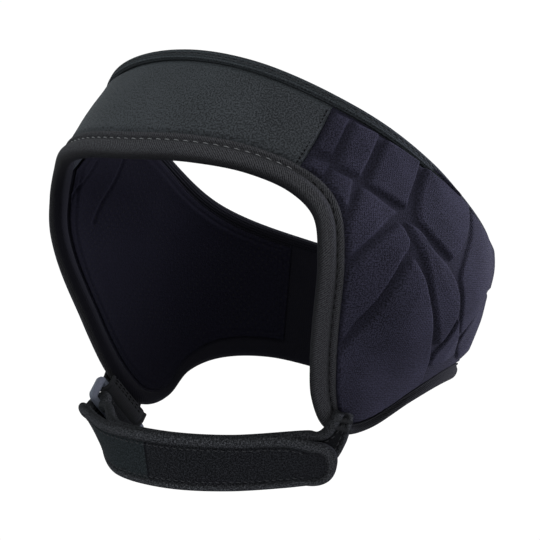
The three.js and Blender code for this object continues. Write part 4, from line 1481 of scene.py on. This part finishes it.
def strap_nap():
    """Napped strap cloth, smoother and greener on the stretch next to the ring, painted darker as shade
    on the inner layer, with a paler binding along its edges."""
    material, tree, shader = new_material("strap_nap")
    uv = coordinates(tree, "UV")
    along = parts(tree, uv)[0]
    speck = grain(tree, uv, scale=1.5, gain=12)
    tone = weighted(tree, (speck, 0.75), (noise(tree, uv, scale=0.4, detail=3), 0.35))
    fleece = shade(tree, (0.0012, 0.0012, 0.0016), (0.0147, 0.0156, 0.0184), tone)
    smooth = shade(tree, (0.0035, 0.0046, 0.0051), (0.0182, 0.023, 0.0257), tone)
    # Painted shade: the inner layer behind the outer one is coloured darker
    hidden = shade(tree, (0.0012, 0.0012, 0.0015), (0.0058, 0.0062, 0.0072), tone)
    # Binding painted lighter on its crests and darker at its edges and stitches, as highlight and shade
    crest_shaded_tone = crest_painted_shading(tree, tone, hollow=0.22)
    binding = shade(tree, (0.0018, 0.0019, 0.0022), (0.048, 0.0505, 0.056), crest_shaded_tone)
    colour = shade(tree, smooth, fleece, value(tree, "GREATER_THAN", along, STRAP_SEAM))
    colour = shade(tree, colour, hidden, value(tree, "LESS_THAN", along, STRAP_TURN))
    past_seam = value(tree, "ABSOLUTE", value(tree, "SUBTRACT", along, STRAP_SEAM))
    seam = value(tree, "LESS_THAN", past_seam, STRAP_SEAM_WIDTH / 2)
    colour = shade(tree, colour, INNER_SHADE_AND_SEAM_DARK, seam)
    colour = shade(tree, colour, binding, marked(tree, BOUND))
    finish_cloth(
        tree, shader, colour, value(tree, "SUBTRACT", speck, seam), depth=0.3,
        roughness=0.95, specular=0.02, sheen=0.02, tint=(0.85, 0.95, 1))
    return material


def tab_webbing():
    """Woven webbing."""
    material, tree, shader = new_material("tab_webbing")
    along, across, _ = parts(tree, coordinates(tree, "UV"))
    height = weave_height(tree, along, across, warp=0.9, weft=0.6)
    colour = shade(tree, (0.003, 0.003, 0.0036), (0.0105, 0.0112, 0.0126), height)
    finish_cloth(
        tree, shader, colour, height, depth=0.15,
        roughness=0.75, specular=0.06, sheen=0.008, tint=(0.9, 0.95, 1))
    return material


def ring_moulding():
    """Grey moulded plastic with a faint grain."""
    material, tree, shader = new_material("ring_moulding")
    speck = noise(tree, coordinates(tree, "Object"), scale=900, detail=3)
    colour = shade(tree, (0.044, 0.05, 0.066), (0.068, 0.076, 0.096), speck)
    tree.links.new(colour, shader.inputs["Base Color"])
    gloss(shader, roughness=0.6, specular=0.15)
    bump(tree, shader, speck, depth=0.05)
    return material


def sewing_thread(name, dark, light, specular):
    """Twisted thread."""
    material, tree, shader = new_material(name)
    twist = noise(tree, coordinates(tree, "Object"), scale=2500)
    tree.links.new(shade(tree, dark, light, twist), shader.inputs["Base Color"])
    gloss(shader, roughness=0.6, specular=specular)
    return material


# Camera, floor and light, in metres

CAMERA_TURN = 41.6
CAMERA_RISE = 0.5
CAMERA_ROLL = 4.4
CAMERA_DISTANCE = 0.9043
CAMERA_LENS = 137.2
CAMERA_SENSOR = 36
CAMERA_NEAR = 0.01
TARGET_SIDE = -0.0034
TARGET_HEIGHT = -0.0305
FLOOR_DROP = 0.125
FLOOR_RADIUS = 0.5
FLOOR_POINTS = 96
FLOOR_GREY = 0.5
FLOOR_ROUGHNESS = 0.9
# Room light by the height of its direction: from and to heights, and the strengths there, multiplied
ROOM_RAMPS = ((-0.9, -0.25, 0.3, 1.04), (0.15, 0.75, 1, 0.55))
# Soft lights: name, place, size, power and colour
LIGHTS = [
    ("key", (0.25, -0.75, 1.6), 0.9, 8, (1, 1, 1)),
    ("right_back", (0.55, 1.25, 0.3), 0.6, 46, (0.8, 0.79, 1)),
    ("front_fill", (0.75, -0.95, 0.6), 0.8, 12, (1, 1, 1)),
    ("left_edge", (-1.0, -0.75, 0.55), 0.7, 6, (0.8, 0.97, 1)),
]


def set_up(name, data, right, up, back, place):
    """Object with its axes and its place as the columns of its matrix."""
    thing = bpy.data.objects.new(name, data)
    matrix = np.eye(4)
    matrix[:3, :4] = np.stack([right, up, back, place], axis=1)
    thing.matrix_world = Matrix(matrix.tolist())
    bpy.context.scene.collection.objects.link(thing)
    return thing


def make_camera():
    """Camera at the photograph's place, rolled a little about its line of sight."""
    turn, rise, roll = np.radians((CAMERA_TURN, CAMERA_RISE, CAMERA_ROLL))
    back = np.array((np.sin(turn) * np.cos(rise), -np.cos(turn) * np.cos(rise), np.sin(rise)))
    level = np.array((np.cos(turn), np.sin(turn), 0))
    up = np.cross(back, level)
    right = level * np.cos(roll) + up * np.sin(roll)
    top = up * np.cos(roll) - level * np.sin(roll)
    place = level * TARGET_SIDE + np.array((0, 0, TARGET_HEIGHT)) + back * CAMERA_DISTANCE
    data = bpy.data.cameras.new("camera")
    data.lens = CAMERA_LENS
    data.sensor_width = CAMERA_SENSOR
    data.clip_start = CAMERA_NEAR
    bpy.context.scene.camera = set_up("camera", data, right, top, back, place)


def make_floor():
    """Pale round floor under the part: one face on a circle."""
    turn = np.linspace(0, 2 * np.pi, FLOOR_POINTS, endpoint=False)
    level = np.full(FLOOR_POINTS, CAD_BOX[0][2] - FLOOR_DROP)
    rim = np.stack([np.cos(turn) * FLOOR_RADIUS, np.sin(turn) * FLOOR_RADIUS, level], axis=1)
    mesh = bpy.data.meshes.new("floor")
    mesh.from_pydata(rim.tolist(), [], [list(range(FLOOR_POINTS))])
    material, _, shader = new_material("floor_paint")
    shader.inputs["Base Color"].default_value = (FLOOR_GREY, FLOOR_GREY, FLOOR_GREY, 1)
    shader.inputs["Roughness"].default_value = FLOOR_ROUGHNESS
    mesh.materials.append(material)
    floor = bpy.data.objects.new("floor", mesh)
    bpy.context.scene.collection.objects.link(floor)


def make_light():
    """White room that is dimmer overhead and below the floor's level, and soft square lights that
    face the middle of the part."""
    world = bpy.data.worlds.new("studio")
    world.use_nodes = True
    tree = world.node_tree
    sky = tree.nodes["Background"]
    sky.inputs["Color"].default_value = (1, 1, 1, 1)
    height = parts(tree, coordinates(tree, "Generated"))[2]
    shares = []
    for limits in ROOM_RAMPS:
        ramp = tree.nodes.new("ShaderNodeMapRange")
        for name, limit in zip(("From Min", "From Max", "To Min", "To Max"), limits):
            ramp.inputs[name].default_value = limit
        tree.links.new(height, ramp.inputs["Value"])
        shares.append(ramp.outputs["Result"])
    tree.links.new(value(tree, "MULTIPLY", *shares), sky.inputs["Strength"])
    bpy.context.scene.world = world
    bpy.context.scene.view_settings.view_transform = "Standard"
    for name, place, size, power, colour in LIGHTS:
        data = bpy.data.lights.new(name, "AREA")
        data.energy = power
        data.size = size
        data.color = colour
        away = unit(np.array(place))
        side = unit(np.cross((0, 0, 1), away))
        set_up(name, data, side, np.cross(away, side), away, place)


make_camera()
make_floor()
make_light()
pad_cloth = pad_jersey()
pale_thread = sewing_thread("pale_thread", *PALE_THREAD)
dark_thread = sewing_thread("dark_thread", *DARK_THREAD)
make_pads(pad_cloth)
make_brow(brow_neoprene())
make_back(pad_cloth)
make_linings(lining_mesh())
make_tape("top_binding", top_rim, TOP_TAPE_SECTION, True, tape_rib())
make_tape("lower_binding", lower_rim, LOWER_TAPE_SECTION, False, tape_twill())
make_ring(ring_moulding())
make_strap(strap_nap())
make_tab(tab_webbing())
strap_thread = sewing_thread("strap_thread", *STRAP_THREAD)
# Dark thread on the face opening's side rows: painted shade on those stitches
sew_face_opening(pale_thread, dark_thread)
sew_top_tape(strap_thread)
sew_brow_seams(dark_thread)
sew_strap(strap_thread)
sew_tab(dark_thread)
